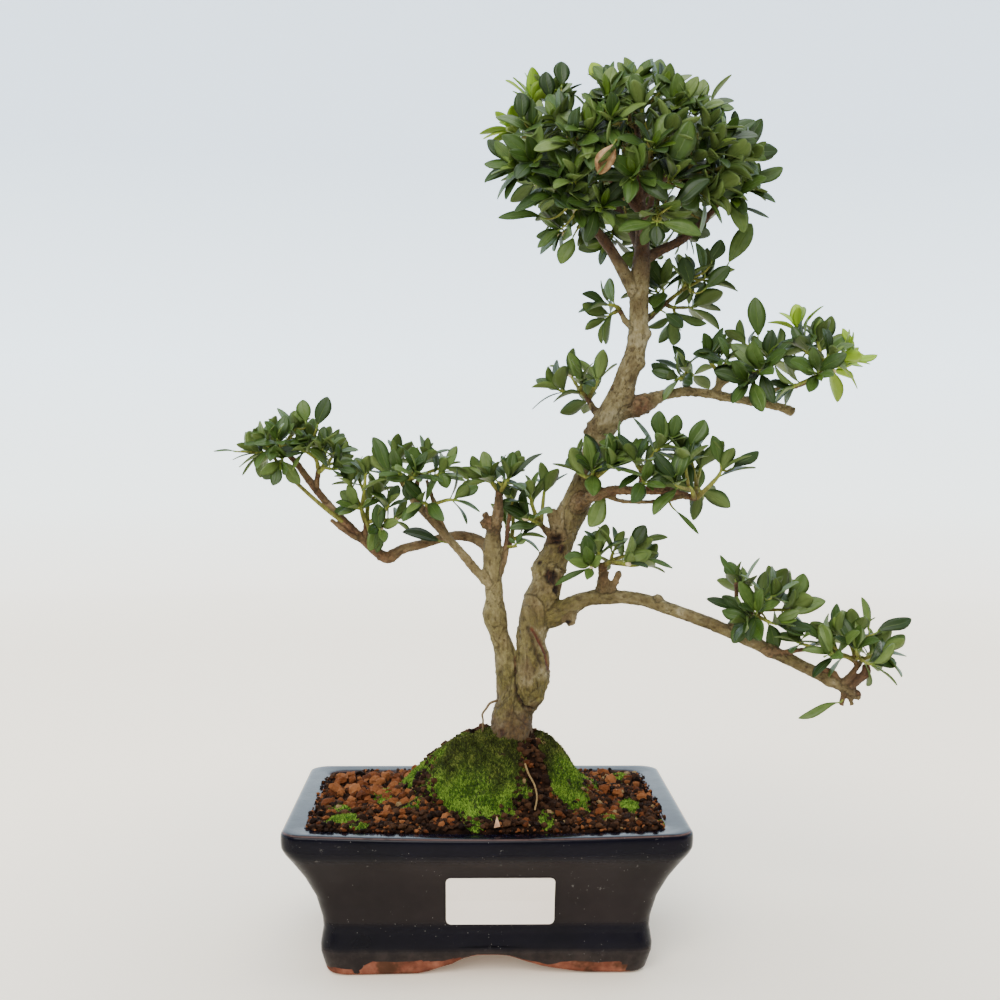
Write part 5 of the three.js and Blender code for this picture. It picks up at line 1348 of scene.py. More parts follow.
def single_leaves(limbs, material):
    """Leaves that stand out of the sprays, each on a twig from the nearest wood."""
    wood = joints + [step[0] for step in limbs.steps if step[4] < THICKEST_WITH_LEAVES]
    tree = tree_of(wood)
    skin = Skin(*FOLIAGE_VALUES)
    random = Stream(707)
    for route in GREEN_TWIGS:
        centres = twig_samples(route)
        add_twig(skin, centres, np.linspace(1.3, 0.8, len(centres)), 0.5)
    for root, tip, look_at, width, state in SIDE_LEAVES:
        root, tip = np.array(root, float), np.array(tip, float)
        along = unit(tip - root)
        start = wood[tree.find(Vector(root - 2.5 * along))[1]]
        leaf_twig(skin, start, root, along, 0.45, 0.7)
        face = vec(*look_at)
        face = unit(face - along * np.dot(face, along))
        leaf = {"root": root, "along": along, "face": face, "length": apart(root, tip), "width": width}
        leaf["dry"] = max(state, 0.0)
        add_leaf(skin, leaf, random, max(-state, 0.0))
    inner_leaves(skin, wood, tree)
    piece = mesh_object("single_leaves", skin, material)
    hand_in(piece)


# Wood


def radius_at(route, t):
    """A limb's radius part of the way along it, or at several such places."""
    return np.interp(t * (len(route) - 1), range(len(route)), [p[3] for p in route])


def limb_steps(curve):
    """How many even steps a limb is taken in."""
    return max(4, int(curve.length() / LIMB_STEP))


def smooth_limb(skin, route, sides):
    curve = Curve(route)
    ts = np.linspace(0, 1, limb_steps(curve) + 1)
    centres = [curve.point(t) for t in ts]
    skin.tube(centres, radius_at(route, ts), sides)


# wood that is too fine for the solid model: short side shoots, stubs and knobs, and the callus
FINE_WOOD = {
    "callus": [
        (21, -4, 172, 3), (21.5, -5, 166, 4.4), (22, -5, 156, 5.4), (22.8, -5, 144, 5.8),
        (23.3, -5.2, 133, 6.4), (23.6, -5.2, 125.5, 6.0), (23.6, -5, 121.5, 3.6),
    ],
    "second_spur": [(62, -3, 178, 2.2), (65, -4, 184, 1.9), (67.5, -5, 190, 1.7)],
    "crown_stub": [(75.5, -9, 372, 2.2), (75, -12, 384, 2.1), (74.5, -13, 398, 2), (74.5, -13, 404, 1.8)],
    "branch_b_stub": [(-66, 3, 206, 1.6), (-71, 2.5, 209, 1.5), (-76, 2.5, 212.5, 1.3), (-80, 3, 216, 1.1)],
    "upright_twig": [(7, -3, 189, 1.4), (9.5, -3, 199, 1.4), (10.5, -3.5, 212, 1.2), (12.5, -4, 224, 1.1)],
    "branch_e_knob": [(86, -6.5, 174, 1.6), (87.5, -6.5, 177.5, 1.3)],
    "trunk_left_knob": [(-1, -3, 212, 1.6), (-2.5, -5, 216, 1.6)],
    "stub_e_under": [(44, -1, 168, 2.6), (43.5, -2, 165, 2.4), (41, -2.5, 163.4, 1.8)],
    "left_knob": [(4.5, -4.5, 208, 2), (1.5, -5, 214, 1.8), (-1.5, -5, 220, 1.7)],
    "left_red_stem": [(5, -5, 212, 1.8), (6, -6, 222, 1.8), (5.5, -7, 231, 1.4)],
    "a_up": [(-24, -14, 212.5, 1.5), (-31, -16.5, 220, 1.5), (-34.5, -17, 230, 1.3), (-35, -17, 237, 1.1)],
    "a_up_second": [
        (-20, -12.5, 208.5, 1.5), (-24, -15, 218, 1.3), (-27.5, -15.5, 228, 1.2), (-30.5, -15.5, 237, 1.0),
    ],
    "e_end_knob": [
        (181, -17, 132, 2), (186.5, -18, 136.5, 2.1), (190.5, -19, 141, 2.4), (190, -19.5, 145, 1.9),
    ],
    "e_end_second": [(184, -17, 129.5, 1.8), (188, -18, 130.5, 1.6)],
    "e_end_drop": [(180, -17, 131, 1.6), (178.5, -17.5, 124, 1.3)],
    "e3_twig_low": [(178, -17, 135, 1.5), (174, -18, 141, 1.3), (167, -18.5, 143, 1.0)],
    "e3_twig_long": [
        (137.5, -15, 152.5, 1.5), (146, -16, 150.5, 1.4), (158, -17.5, 152, 1.2), (168, -18.5, 153, 1.0),
    ],
    "e2_upright": [(124, -12.5, 163, 1.6), (125.5, -13.5, 175, 1.4), (125.5, -14, 186, 1.1)],
    "c_under": [
        (57, -14, 230, 1.4), (66, -20, 226.8, 1.1), (77, -23, 226.4, 1.1), (88, -25, 227.2, 1.0),
        (97, -25, 229, 0.9),
    ],
}
# greener twigs along the left branch
GREEN_TWIGS = [
    [(-71, 3, 213), (-79.5, -1, 219.5), (-92, -3, 230.5), (-103.5, -4, 242), (-110, -5, 251)],
    [(-57, 6, 200), (-59, 3, 207), (-62, 2, 216), (-67, 1, 228), (-70, 0, 235)],
]
# swellings of the wood: x, y, z, reach and height
SWELLINGS = [
    (4.2, -2, 166.5, 6, 1.5), (3, -4, 198, 5, 0.8), (17.5, -4, 173, 3, 0.5), (24.5, 0, 190.5, 3, 1.3),
    (52, 0, 262, 5, 1.5), (79, 0, 276, 5, 1.2), (70, -3, 275, 4, 1.0), (28, 0, 175, 7, 0.7),
    (37, 2, 209, 5, 0.9), (5, -1, 119, 5, 0.6), (-51, 7, 195.5, 4, 0.6), (159.5, 14, 271.5, 3, 0.5),
    (76, -8, 345, 5, 0.8), (58.5, -3, 177, 4, 0.7), (80.5, -6, 310.5, 1, 2.4), (78.5, -6, 295, 1, 2.2),
    (87.5, -6, 177, 0.6, 1.1), (141.5, -16, 149, 0.8, 0.9), (171, -18, 134, 0.8, 0.9),
    (31.5, -6, 136, 3, 0.9),
]
# hollows and marks: x, y, z, reach, depth, height of the lip round them
SCARS = [
    (32.5, -3.5, 187.5, 3.8, 2.0, 0.9), (35.4, -3.5, 180.5, 2.8, 1.2, 0.6), (35, -2.5, 206.5, 4, 2.2, 1.1),
    (38, -2, 201, 2.6, 0.9, 0.5), (4.0, -7.8, 166.8, 1.2, 0.7, 0.5), (51, -4, 264, 2.0, 0.6, 0.4),
    (72, -6, 274, 2.4, 0.9, 0.6), (8, -9, 108, 2.0, 0.4, 0.3), (41.5, -3.8, 164, 1.6, 0.4, 0.4),
    (27, -2, 194.5, 1.8, 0.8, 0.3), (60, 8.5, 262, 3.5, 1.1, 0.6), (30, 11, 176, 4.5, 1.3, 0.7),
    (12, 9, 126, 4, 1.0, 0.5), (63, -4, 283, 1.8, 0.5, 0.4),
]
# furrows: the points along one, its half width and depth, the height of its lips, and how dark it is, its
# own dark bark with painted shade in the groove
FURROWS = [
    (
        [
            (16.5, -11, 160), (16, -11, 148), (14.6, -11, 136), (15, -11, 128.5),
            (18.5, -11, 122), (24, -11, 120.2), (29.5, -11, 125), (31.5, -11, 133),
        ],
        0.9, 1.3, 0.5, 0.9,
    ),
    ([(26, -9, 113), (28, -7, 104), (28, -7, 96)], 1.1, 0.9, 0.3, 0.7),
    ([(18, -12, 127), (22, -12, 124), (27, -12, 127)], 0.5, 0.5, 0.35, 0.35),
    ([(19.5, -12, 131.5), (22.5, -12, 129), (25.5, -12, 131.5)], 0.45, 0.45, 0.35, 0.35),
    ([(20, -12, 160), (20.5, -12, 145), (20, -12, 132)], 0.5, 0.5, 0.2, 0.4),
    ([(24.5, -12, 150), (24, -12, 138), (25.5, -12, 134)], 0.5, 0.5, 0.2, 0.4),
    ([(9, -6, 162), (6.5, -6, 156.5)], 0.5, 0.5, 0.2, 0.6),
    ([(20.5, -9, 162), (24, -9, 153), (27.5, -9, 142)], 1.0, 0.6, 0.2, 0.6),
    ([(25, -4, 190.4), (30, -5, 191.8), (36, -4, 192), (40.5, -4, 189.5)], 0.6, 0.5, 0.7, 0.5),
    ([(27, -3, 199), (32, -5, 200.5), (38, -3, 198.5)], 0.5, 0.3, 0.4, 0.2),
    ([(12, -7, 130), (13, -8, 122), (13, -9, 115)], 0.5, 0.4, 0.2, 0.3),
]
# lines of bared wood: the points along one, its half width and depth
WOUNDS = [
    ([(22.5, -9, 161.5), (26, -9, 155.5), (29.6, -9, 148), (31, -9, 140)], 0.9, 0.8),
    ([(14.2, -7, 146), (14.4, -7, 139)], 0.6, 0.6),
]
# rugged places: x, y, z and reach
RUGGED_PLACES = [
    (34, -2, 184, 7), (34, -2, 190, 6), (46, -6, 226, 7), (-51, 7, 196, 6), (4, -4, 203, 7),
    (77, -1, 274, 7), (186, -17, 130, 6), (62, 1, 268, 6), (34, 0, 206, 5), (52, 0, 262, 5),
    (104, 9, 281, 7), (123, 10, 281, 6), (6, -4, 216, 6),
]
RUGGED_LIMBS = {
    "branch_c": 0.8, "spur_e1": 0.9, "second_spur": 0.9, "branch_a": 0.3, "stub_trunk": 0.8,
    "crown_stub": 0.6, "upright_twig": 0.5, "spur_c_left": 0.7, "spur_c_mid": 0.7, "branch_d": 0.45,
    "stub_e_end": 0.8, "stub_e_under": 0.8,
}
REDDISH = {
    "branch_b": 0.75, "branch_a": 0.2, "branch_c": 0.8, "spur_c_left": 0.8, "spur_c_mid": 0.8,
    "spur_e1": 0.3, "crown_front": 0.9, "crown_right": 0.9, "crown_back": 0.8, "crown_upleft": 0.8,
    "crown_upright": 0.8, "crown_left": 0.35, "crown_far_left": 0.7, "crown_back_right": 0.8,
    "branch_d": -0.3, "branch_d_side": 0.35, "branch_d_out": 0.25, "spur_b_mid": 0.8, "spur_b_inner": 0.8,
    "spur_e3": 0.6, "spur_trunk_left": 0.4, "stub_trunk": 0.15, "upright_twig": 1.0, "second_spur": 0.3,
    "crown_stub": 0.8, "branch_b_stub": 0.7, "stub_e_under": 0.1, "trunk_left_knob": 0.8, "left_knob": 0.9,
    "left_red_stem": 0.9, "a_up": 0.5, "a_up_second": 0.5, "e_end_knob": 0.9, "e_end_second": 0.9,
    "e_end_drop": 0.7, "e3_twig_low": 1.0, "e3_twig_long": 1.0, "e2_upright": 0.8, "c_under": 0.3,
}
# places where the wood is redder: x, y, z, reach and how much
RED_PLACES = [(6, -5, 224, 12, 0.7), (52, -4, 228, 6, 0.4), (45, 5, 222, 5, 0.3), (78, -2, 274, 7, 0.9)]
# places on the wood that get painted shade under the sprays: x, y, z, reach and how much
SHADED_PLACES = [
    (189, -18, 137, 9, 0.85), (125, -13, 178, 10, 0.7), (10, -4, 208, 5, 0.7), (55, 8, 262, 6, 0.4),
]
# places where the bark is paler, on branch D under the crown as painted light: x, y, z, reach and how much
PALER_AND_LIT_PLACES = [
    (96, 6, 282, 15, 0.6), (122, 9, 281, 16, 0.65), (148, 12, 275, 16, 0.65), (4, -2, 182, 20, 0.35),
    (8, -2, 155, 16, 0.3), (-44, 6, 200, 8, 0.2), (-5, -2, 190, 16, 0.2),
]
AIR_ROOT = [
    (5.4, -5, 124), (2.2, -5.8, 123), (-0.6, -6, 119.6), (-2.2, -5.6, 116.4), (-1.6, -5.4, 113),
    (-2.2, -5, 108),
]
# the crown's wood gets painted shade above one height, and the trunk's foot is darker below another, over an
# edge of this width
DARK_ABOVE = 336
DARK_BELOW = 124
DARK_EDGE = 16
# added to the distance from a mark on faces that look away from the front
BEHIND = 50.0
VOXEL = 0.76
LIMB_STEP = 1.5


def apply_modifiers(made):
    depsgraph = bpy.context.evaluated_depsgraph_get()
    mesh = bpy.data.meshes.new_from_object(made.evaluated_get(depsgraph))
    made.modifiers.clear()
    old, made.data = made.data, mesh
    bpy.data.meshes.remove(old)


def fuse(made):
    """Makes one smooth skin of a mesh whose limbs run into each other."""
    modifier = made.modifiers.new("fuse", "REMESH")
    modifier.mode = "VOXEL"
    modifier.voxel_size = VOXEL * MM
    modifier.adaptivity = 0
    smoother = made.modifiers.new("ease", "SMOOTH")
    smoother.factor = 0.5
    smoother.iterations = 3
    apply_modifiers(made)


def points_of(mesh):
    co = np.empty(len(mesh.vertices) * 3, np.float32)
    mesh.vertices.foreach_get("co", co)
    return co.reshape(-1, 3).astype(float)


def normals_of(mesh):
    normals = np.empty(len(mesh.vertices) * 3, np.float32)
    mesh.vertex_normals.foreach_get("vector", normals)
    return normals.reshape(-1, 3).astype(float)


def put_values(mesh, name, values, kind="FLOAT"):
    attribute = mesh.attributes.new(name, kind, "POINT")
    field = "vector" if kind == "FLOAT_VECTOR" else "value"
    attribute.data.foreach_set(field, np.asarray(values, np.float32).ravel())


def noise_at(points, scale, seed=0.0):
    shift = vec(seed, -seed, 0)
    return np.array([noise.noise(Vector(p * scale + shift)) for p in points])


def line_gap(points, line, flatten=0.12):
    """How far points are from a line; depth counts less, so that a line marks the face before it."""
    nearest = np.full(len(points), 1e9)
    for a, b in zip(line, line[1:]):
        a, b = np.array(a, float), np.array(b, float)
        t = np.clip(((points - a) @ (b - a)) / np.dot(b - a, b - a), 0, 1)
        gap = points - (a + t[:, None] * (b - a))
        gap[:, 1] *= flatten
        nearest = np.minimum(nearest, np.linalg.norm(gap, axis=1))
    return nearest


class Limbs:
    """Even steps along the routes of the wood, to look up what a point of the bark belongs to."""

    def __init__(self):
        self.steps = []
        for name, route in {**WOOD, **FINE_WOOD}.items():
            curve = Curve(route)
            count = limb_steps(curve)
            side, run, last = vec(0.3, 1, 0.1), 0.0, None
            for i in range(count + 1):
                t = i / count
                centre, along = curve.point(t), curve.tangent(t)
                side, other = across_of(along, side)
                run += apart(centre, last) if last is not None else 0.0
                last = centre
                radius = float(radius_at(route, t))
                red = REDDISH.get(name, 0.0) * min(1.0, 0.35 + t)
                rugged = RUGGED_LIMBS.get(name, 0.0)
                self.steps.append((centre, along, side, other, radius, run, red, rugged))
        self.tree = tree_of([step[0] for step in self.steps])

    def of(self, points):
        """Each point's place along and round its limb, and that limb's radius, redness and ruggedness."""
        grown, values = np.zeros((len(points), 3)), np.zeros((len(points), 3))
        for i, point in enumerate(points):
            found = self.tree.find_n(Vector(point), 3)
            best = min(found, key=lambda hit: abs(hit[2] - self.steps[hit[1]][4]))
            centre, along, side, other, radius, run, red, rugged = self.steps[best[1]]
            away = point - centre
            grown[i] = np.dot(away, side), np.dot(away, other), 0.6 * (run + np.dot(away, along))
            values[i] = radius, red, rugged
        return grown + 0.02 * points, values


def nearness(points, x, y, z, reach, power):
    """1 at a place, falling to 0 round it; the higher the power, the sharper."""
    return np.exp(-((np.linalg.norm(points - vec(x, y, z), axis=1) / reach) ** power))


def marked(points, places, power):
    """How much each point belongs to one of several places, each with its reach and strength."""
    found = np.zeros(len(points))
    for *place, strength in places:
        found = np.maximum(found, strength * nearness(points, *place, power))
    return found


def lip(part, middle, width):
    """A soft ridge beside a mark."""
    return np.exp(-(((part - middle) / width) ** 2))


def bark_relief(points, grown, plates, radii, rugged, thick):
    """How far the bark stands out: plates and cracks, knobs on rugged wood, old buds and swellings."""
    lift = thick * (0.45 * noise_at(points, 0.16, 3.0) + 0.38 * plates + 0.4 * noise_at(grown, 1.1, 7.0))
    knobs = np.maximum(0, noise_at(points, 0.42, 11.0)) + 0.5 * np.abs(noise_at(points, 0.95, 4.0))
    lift += rugged * np.clip(radii / 3.5, 0.35, 1) * (2.1 * knobs - 0.45)
    rings = np.maximum(0, np.sin(grown[:, 2] * 1.25 + 2 * noise_at(points, 0.05, 2.0))) ** 6
    lift += 0.3 * rings * np.clip(1.3 - radii / 3, 0, 1)
    for x, y, z, reach, height in SWELLINGS:
        lift += height * nearness(points, x, y, z, reach + 2, 2)
    return lift


def cut_marks(points, normals, lift, scar_and_shade):
    """Cuts scars, furrows and lines of bared wood into the relief; gives how dark and how bare they are."""
    # the scars' darkness is their own dark wood with painted shade in their hollows
    for x, y, z, reach, depth, height in SCARS:
        away = points - vec(x, y, z)
        part = np.sqrt(away[:, 0] ** 2 + away[:, 1] ** 2 + (0.85 * away[:, 2]) ** 2) / reach
        part = part + 0.35 * noise_at(points, 0.5, x) + 0.2 * noise_at(points, 1.2, z)
        lift -= depth * np.clip(1 - part**2, 0, 1) ** 1.2
        lift += height * lip(part, 1.15, 0.25)
        scar_and_shade = np.maximum(scar_and_shade, np.clip(1.8 * (1.12 - part), 0, 1))
    behind = np.where(normals[:, 1] < 0.25, 0.0, BEHIND)
    for line, half, depth, height, dark in FURROWS:
        part = (line_gap(points, line) + behind + 0.5 * noise_at(points, 0.5, 9.0)) / half
        lift -= depth * np.clip(1 - part**2, 0, 1)
        lift += height * lip(part, 1.7, 0.5)
        scar_and_shade = np.maximum(scar_and_shade, dark * np.clip(1.25 - part, 0, 1))
    wound = np.zeros(len(points))
    for line, half, depth in WOUNDS:
        part = (line_gap(points, line) + behind) / half
        lift -= depth * np.clip(1 - part**2, 0, 1)
        lift += 0.5 * lip(part, 1.5, 0.45)
        wound = np.maximum(wound, np.clip(1.3 - part, 0, 1))
    return scar_and_shade, wound


def darkness(points):
    """Painted shade in the crown and at a few places, and a darker foot, all with ragged edges."""
    blotch = 6 * noise_at(points, 0.2, 6.0)
    high = np.clip((points[:, 2] - DARK_ABOVE + blotch) / DARK_EDGE, 0, 0.92)
    low = np.clip((DARK_BELOW + blotch - points[:, 2]) / DARK_EDGE, 0, 0.7)
    return np.maximum(np.maximum(high, low), marked(points, SHADED_PLACES, 4))


def trunk(limbs, material):
    skin = Skin()
    for route in [*WOOD.values(), *FINE_WOOD.values()]:
        smooth_limb(skin, route, 22 if route[0][3] > 5 else 12)
    made = mesh_object("trunk_look", skin, material)
    fuse(made)
    mesh = made.data
    points, normals = points_of(mesh) / MM - POT_PLACE, normals_of(mesh)
    grown, values = limbs.of(points)
    radii, reds, rugged = values.T
    rugged = np.maximum(rugged, marked(points, [(*place, 0.85) for place in RUGGED_PLACES], 4))
    thick = np.clip(radii / 8, 0.12, 1)
    plates = 1 - 2.2 * np.abs(noise_at(grown, 0.42))
    lift = bark_relief(points, grown, plates, radii, rugged, thick)
    # painted shade in the creases between the bark's plates
    scar_and_shade = np.clip(0.35 - plates, 0, 1) * 0.5 * thick
    scar_and_shade, wound = cut_marks(points, normals, lift, scar_and_shade)
    points = points + normals * lift[:, None]
    reds = np.maximum(reds, marked(points, RED_PLACES, 2))
    reds = reds + 0.15 * rugged + 0.25 * noise_at(points, 0.08, 5.0)
    mesh.vertices.foreach_set("co", ((points + POT_PLACE) * MM).astype(np.float32).ravel())
    put_values(mesh, "grown", grown * MM, "FLOAT_VECTOR")
    bark = {
        "algae": np.clip((radii - 2.2) / 3, 0, 1) * np.clip(1.1 - (points[:, 2] - 150) / 120, 0.1, 1),
        "reddish": np.clip(reds, 0, 1),
        "dark": darkness(points),
        # paler bark, on branch D painted light
        "paler_and_painted_light": marked(points, PALER_AND_LIT_PLACES, 4),
        # painted shade where the relief is pushed in
        "hollow_shade": np.clip(-lift / (0.15 + 0.6 * thick), 0, 1),
        "scar_and_shade": scar_and_shade,
        "wound": wound,
    }
    for name, amount in bark.items():
        put_values(mesh, name, amount)
    mesh.polygons.foreach_set("use_smooth", [True] * len(mesh.polygons))
    mesh.materials.clear()
    mesh.materials.append(material)
    mesh.update()
    hand_in(made, "trunk")


def air_root(material):
    """The thin root that leaves the trunk above the moss and dips into it."""
    skin = Skin("reddish", "hollow_shade", "dark")
    centres = twig_samples([(*p, 0.7) for p in AIR_ROOT], 1.0)
    wander = [vec(0.16 * math.sin(1.1 * i), 0.15 * math.cos(0.9 * i), 0) for i in range(len(centres))]
    radii = np.linspace(0.72, 0.42, len(centres))
    skin.tube([c + w for c, w in zip(centres, wander)], radii, 8, reddish=0.4, dark=0.4)
    piece = mesh_object("air_root", skin, material)
    hand_in(piece)


# Soil and moss


def ripple(x, y):
    """Low waves of the soil, the same as in the solid model."""
    return 0.8 * np.sin(x / 5.3 + 1.7 * np.sin(y / 7.1)) + 0.7 * np.sin(y / 4.7 + x / 11.3)


def soil_height(x, y):
    side = np.where(x < MOUND["x"], MOUND["left"], MOUND["right"])
    far = np.hypot((x - MOUND["x"]) / side, (y - MOUND["y"]) / MOUND["deep"])
    mound = MOUND["height"] * np.exp(-3 * far**3)
    beside = ((x - SHOULDER["x"]) ** 2 + (y - SHOULDER["y"]) ** 2) / SHOULDER["reach"] ** 2
    return SOIL_EDGE + mound + SHOULDER["height"] * np.exp(-beside) + ripple(x, y)


def pot_outline(inset, corner_steps):
    """The pot's outline seen from above, drawn in by an inset."""
    flat_x, flat_y = POT_LENGTH / 2 - inset - POT_CORNER, POT_DEPTH / 2 - inset - POT_CORNER

    def corner_point(side_x, side_y, angle):
        return side_x * flat_x + POT_CORNER * math.cos(angle), side_y * flat_y + POT_CORNER * math.sin(angle)

    quarters = [(1, 1, LONG_STEPS), (-1, 1, SHORT_STEPS), (-1, -1, LONG_STEPS), (1, -1, SHORT_STEPS)]
    points = []
    for quarter, (side_x, side_y, along) in enumerate(quarters):
        for i in range(corner_steps + 1):
            points.append(corner_point(side_x, side_y, (quarter + i / corner_steps) * math.pi / 2))
        next_x, next_y, _ = quarters[(quarter + 1) % 4]
        start = np.array(points[-1])
        end = vec(*corner_point(next_x, next_y, (quarter + 1) * math.pi / 2))
        for i in range(1, along + 1):
            points.append(tuple(start + (end - start) * i / (along + 1)))
    return np.array(points)


def icosphere(level):
    shape = bmesh.new()
    bmesh.ops.create_icosphere(shape, subdivisions=level, radius=1)
    points = np.array([v.co for v in shape.verts])
    faces = [tuple(v.index for v in f.verts) for f in shape.faces]
    shape.free()
    return points, faces


def pebble(skin, unit_ball, centre, radius, random, **values):
    """A rough lump: a ball pushed in and out, squashed and turned."""
    points, faces = unit_ball
    shift = random.next() * 50
    bumps = [
        noise.noise(Vector(p * 1.4 + shift)) + 0.6 * noise.noise(Vector(p * 3.3 - shift)) for p in points
    ]
    shape = points * (1 + 0.5 * np.array(bumps))[:, None]
    shape = shape * vec(random.between(0.8, 1.25), random.between(0.75, 1.1), random.between(0.6, 0.95))
    spin = Matrix.Rotation(random.next() * WHOLE_TURN, 3, "Z")
    tip = Matrix.Rotation(random.next() * 0.9, 3, "X")
    skin.add(centre + radius * shape @ np.array(spin @ tip).T, faces, **values)


def under_moss(x, y, spare):
    """Whether a place lies under a mat of moss, taken spare times as large."""
    for mat_x, mat_y, half_x, half_y, *_ in MOSS.values():
        if math.hypot((x - mat_x) / half_x, (y - mat_y) / half_y) < spare:
            return True
    return False


def among_clay(x, y):
    """Whether a place lies in the first patch of clay grains."""
    clay_x, clay_y, half_x, half_y, *_ = CLAY[0]
    return math.hypot((x - clay_x) / half_x, (y - clay_y) / half_y) < 0.95


def soil_body(skin):
    """The closed body of the soil, with a rough top."""
    rings = []
    for z in SOIL_RINGS:
        flat = pot_outline(value_at(POT_INSIDE, z) + SOIL_GAP, SOIL_CORNER_STEPS)
        flat[:, 0] *= value_at(POT_STRETCH, z)
        rings.append(np.column_stack([flat, np.full(len(flat), z)]))
    edge = pot_outline(RIM_WIDTH + 0.4, SOIL_CORNER_STEPS)
    edge[:, 0] *= value_at(POT_STRETCH, POT_HEIGHT)
    for scale in np.linspace(1, 0.015, 66):
        flat = edge * scale
        z = soil_height(flat[:, 0], flat[:, 1])
        broad = np.array([noise.fractal(Vector((x * 0.3, y * 0.3, 4.0)), 0.8, 2.1, 5) for x, y in flat])
        grainy = np.array([noise.noise(Vector((x * 1.1, y * 1.1, 9.0))) for x, y in flat])
        sunk = 0.8 if scale == 1 else 0
        rings.append(np.column_stack([flat, z - 1.0 + 1.2 * broad + 0.7 * grainy - sunk]))
    points = np.vstack(rings)
    tint = 0.3 + 0.9 * np.array([noise.noise(Vector((x * 0.7, y * 0.7, 2.0))) for x, y in points[:, :2]])
    skin.add(points, tube_faces(len(rings), len(edge)), tint=np.clip(tint, 0, 0.8))


def clay_grains(skin, room_x, room_y):
    """Grains of baked clay in their patches, none too near another."""
    small_ball, large_ball = icosphere(1), icosphere(2)
    for x0, y0, half_x, half_y, number, small, large, seed in CLAY:
        random = Stream(seed)
        kept = []
        for _ in range(number * 30):
            if len(kept) == number:
                break
            x, y = x0 + half_x * random.between(-1, 1), y0 + half_y * random.between(-1, 1)
            size = small + (large - small) * random.next() ** 1.6
            if abs(x) > room_x - size or abs(y) > room_y - size or under_moss(x, y, 1.05):
                continue
            if math.hypot(x - TRUNK_X, y) < CLAY_CLEAR + size:
                continue
            if any(math.hypot(x - u, y - v) < 0.7 * (size + w) for u, v, w in kept):
                continue
            kept.append((x, y, size))
        for x, y, size in kept:
            z = float(soil_height(x, y)) + random.between(0.2, 0.6) * size
            ball = large_ball if size > 2 else small_ball
            pebble(skin, ball, vec(x, y, z), size, random, tint=random.next(), clay=1.0)


def crumbs(skin, room_x, room_y):
    """Fine dark crumbs all over the soil, and some that have fallen on the rim."""
    random = Stream(4211)
    ball = icosphere(1)
    number = CRUMBS
    placed = 0
    while placed < number:
        x, y = room_x * random.between(-1, 1), room_y * random.between(-1, 1)
        size = 0.6 + 1.5 * random.next() ** 2
        if under_moss(x, y, 0.8) or math.hypot(x - TRUNK_X, y) < CRUMBS_CLEAR:
            continue
        if y > 20 and random.next() < 0.4:
            continue
        if among_clay(x, y) and random.next() < 0.6:
            continue
        z = float(soil_height(x, y)) + random.between(-0.4, 0.9) * size
        kind = random.next()
        straw = 0.8 if kind > 0.985 else 0.0
        clay = 0.85 if kind < (0.16 if abs(x) > 40 else 0.06) else 0.0
        pebble(skin, ball, vec(x, y, z), size, random, tint=random.next(), clay=clay, straw=straw)
        placed += 1
    for x0, y0, half_x, half_y, number in SPILLED:
        for _ in range(number):
            x, y = x0 + half_x * random.between(-1, 1), y0 + half_y * random.between(-1, 1)
            size = 0.4 + 1.0 * random.next() ** 2
            z = POT_HEIGHT - 0.4 + 0.45 * size - RIM_SAG * max(0, -y / 68) * max(0, 1 - (x / 95) ** 2)
            clay = 0.9 if random.next() < 0.4 else 0.0
            pebble(skin, ball, vec(x, y, z), size, random, tint=random.next(), clay=clay)


def soil(material):
    skin = Skin("tint", "clay", "straw")
    soil_body(skin)
    room_x, room_y = (POT_LENGTH / 2 - RIM_WIDTH - 1) * SOIL_STRETCH, POT_DEPTH / 2 - RIM_WIDTH - 1
    clay_grains(skin, room_x, room_y)
    crumbs(skin, room_x, room_y)
    root = twig_samples([(*p, 0.7) for p in PALE_ROOT], 1.0)
    skin.tube(root, np.linspace(0.5, 0.4, len(root)), 7, tint=0.7, straw=1.0)
    made = mesh_object("soil_look", skin, material, smooth=False)
    hand_in(made, "soil")


def clouds(x, y, scale, layer):
    """Soft noise over the soil, between -1 and 1."""
    return noise.noise(Vector((x * scale, y * scale, layer)))


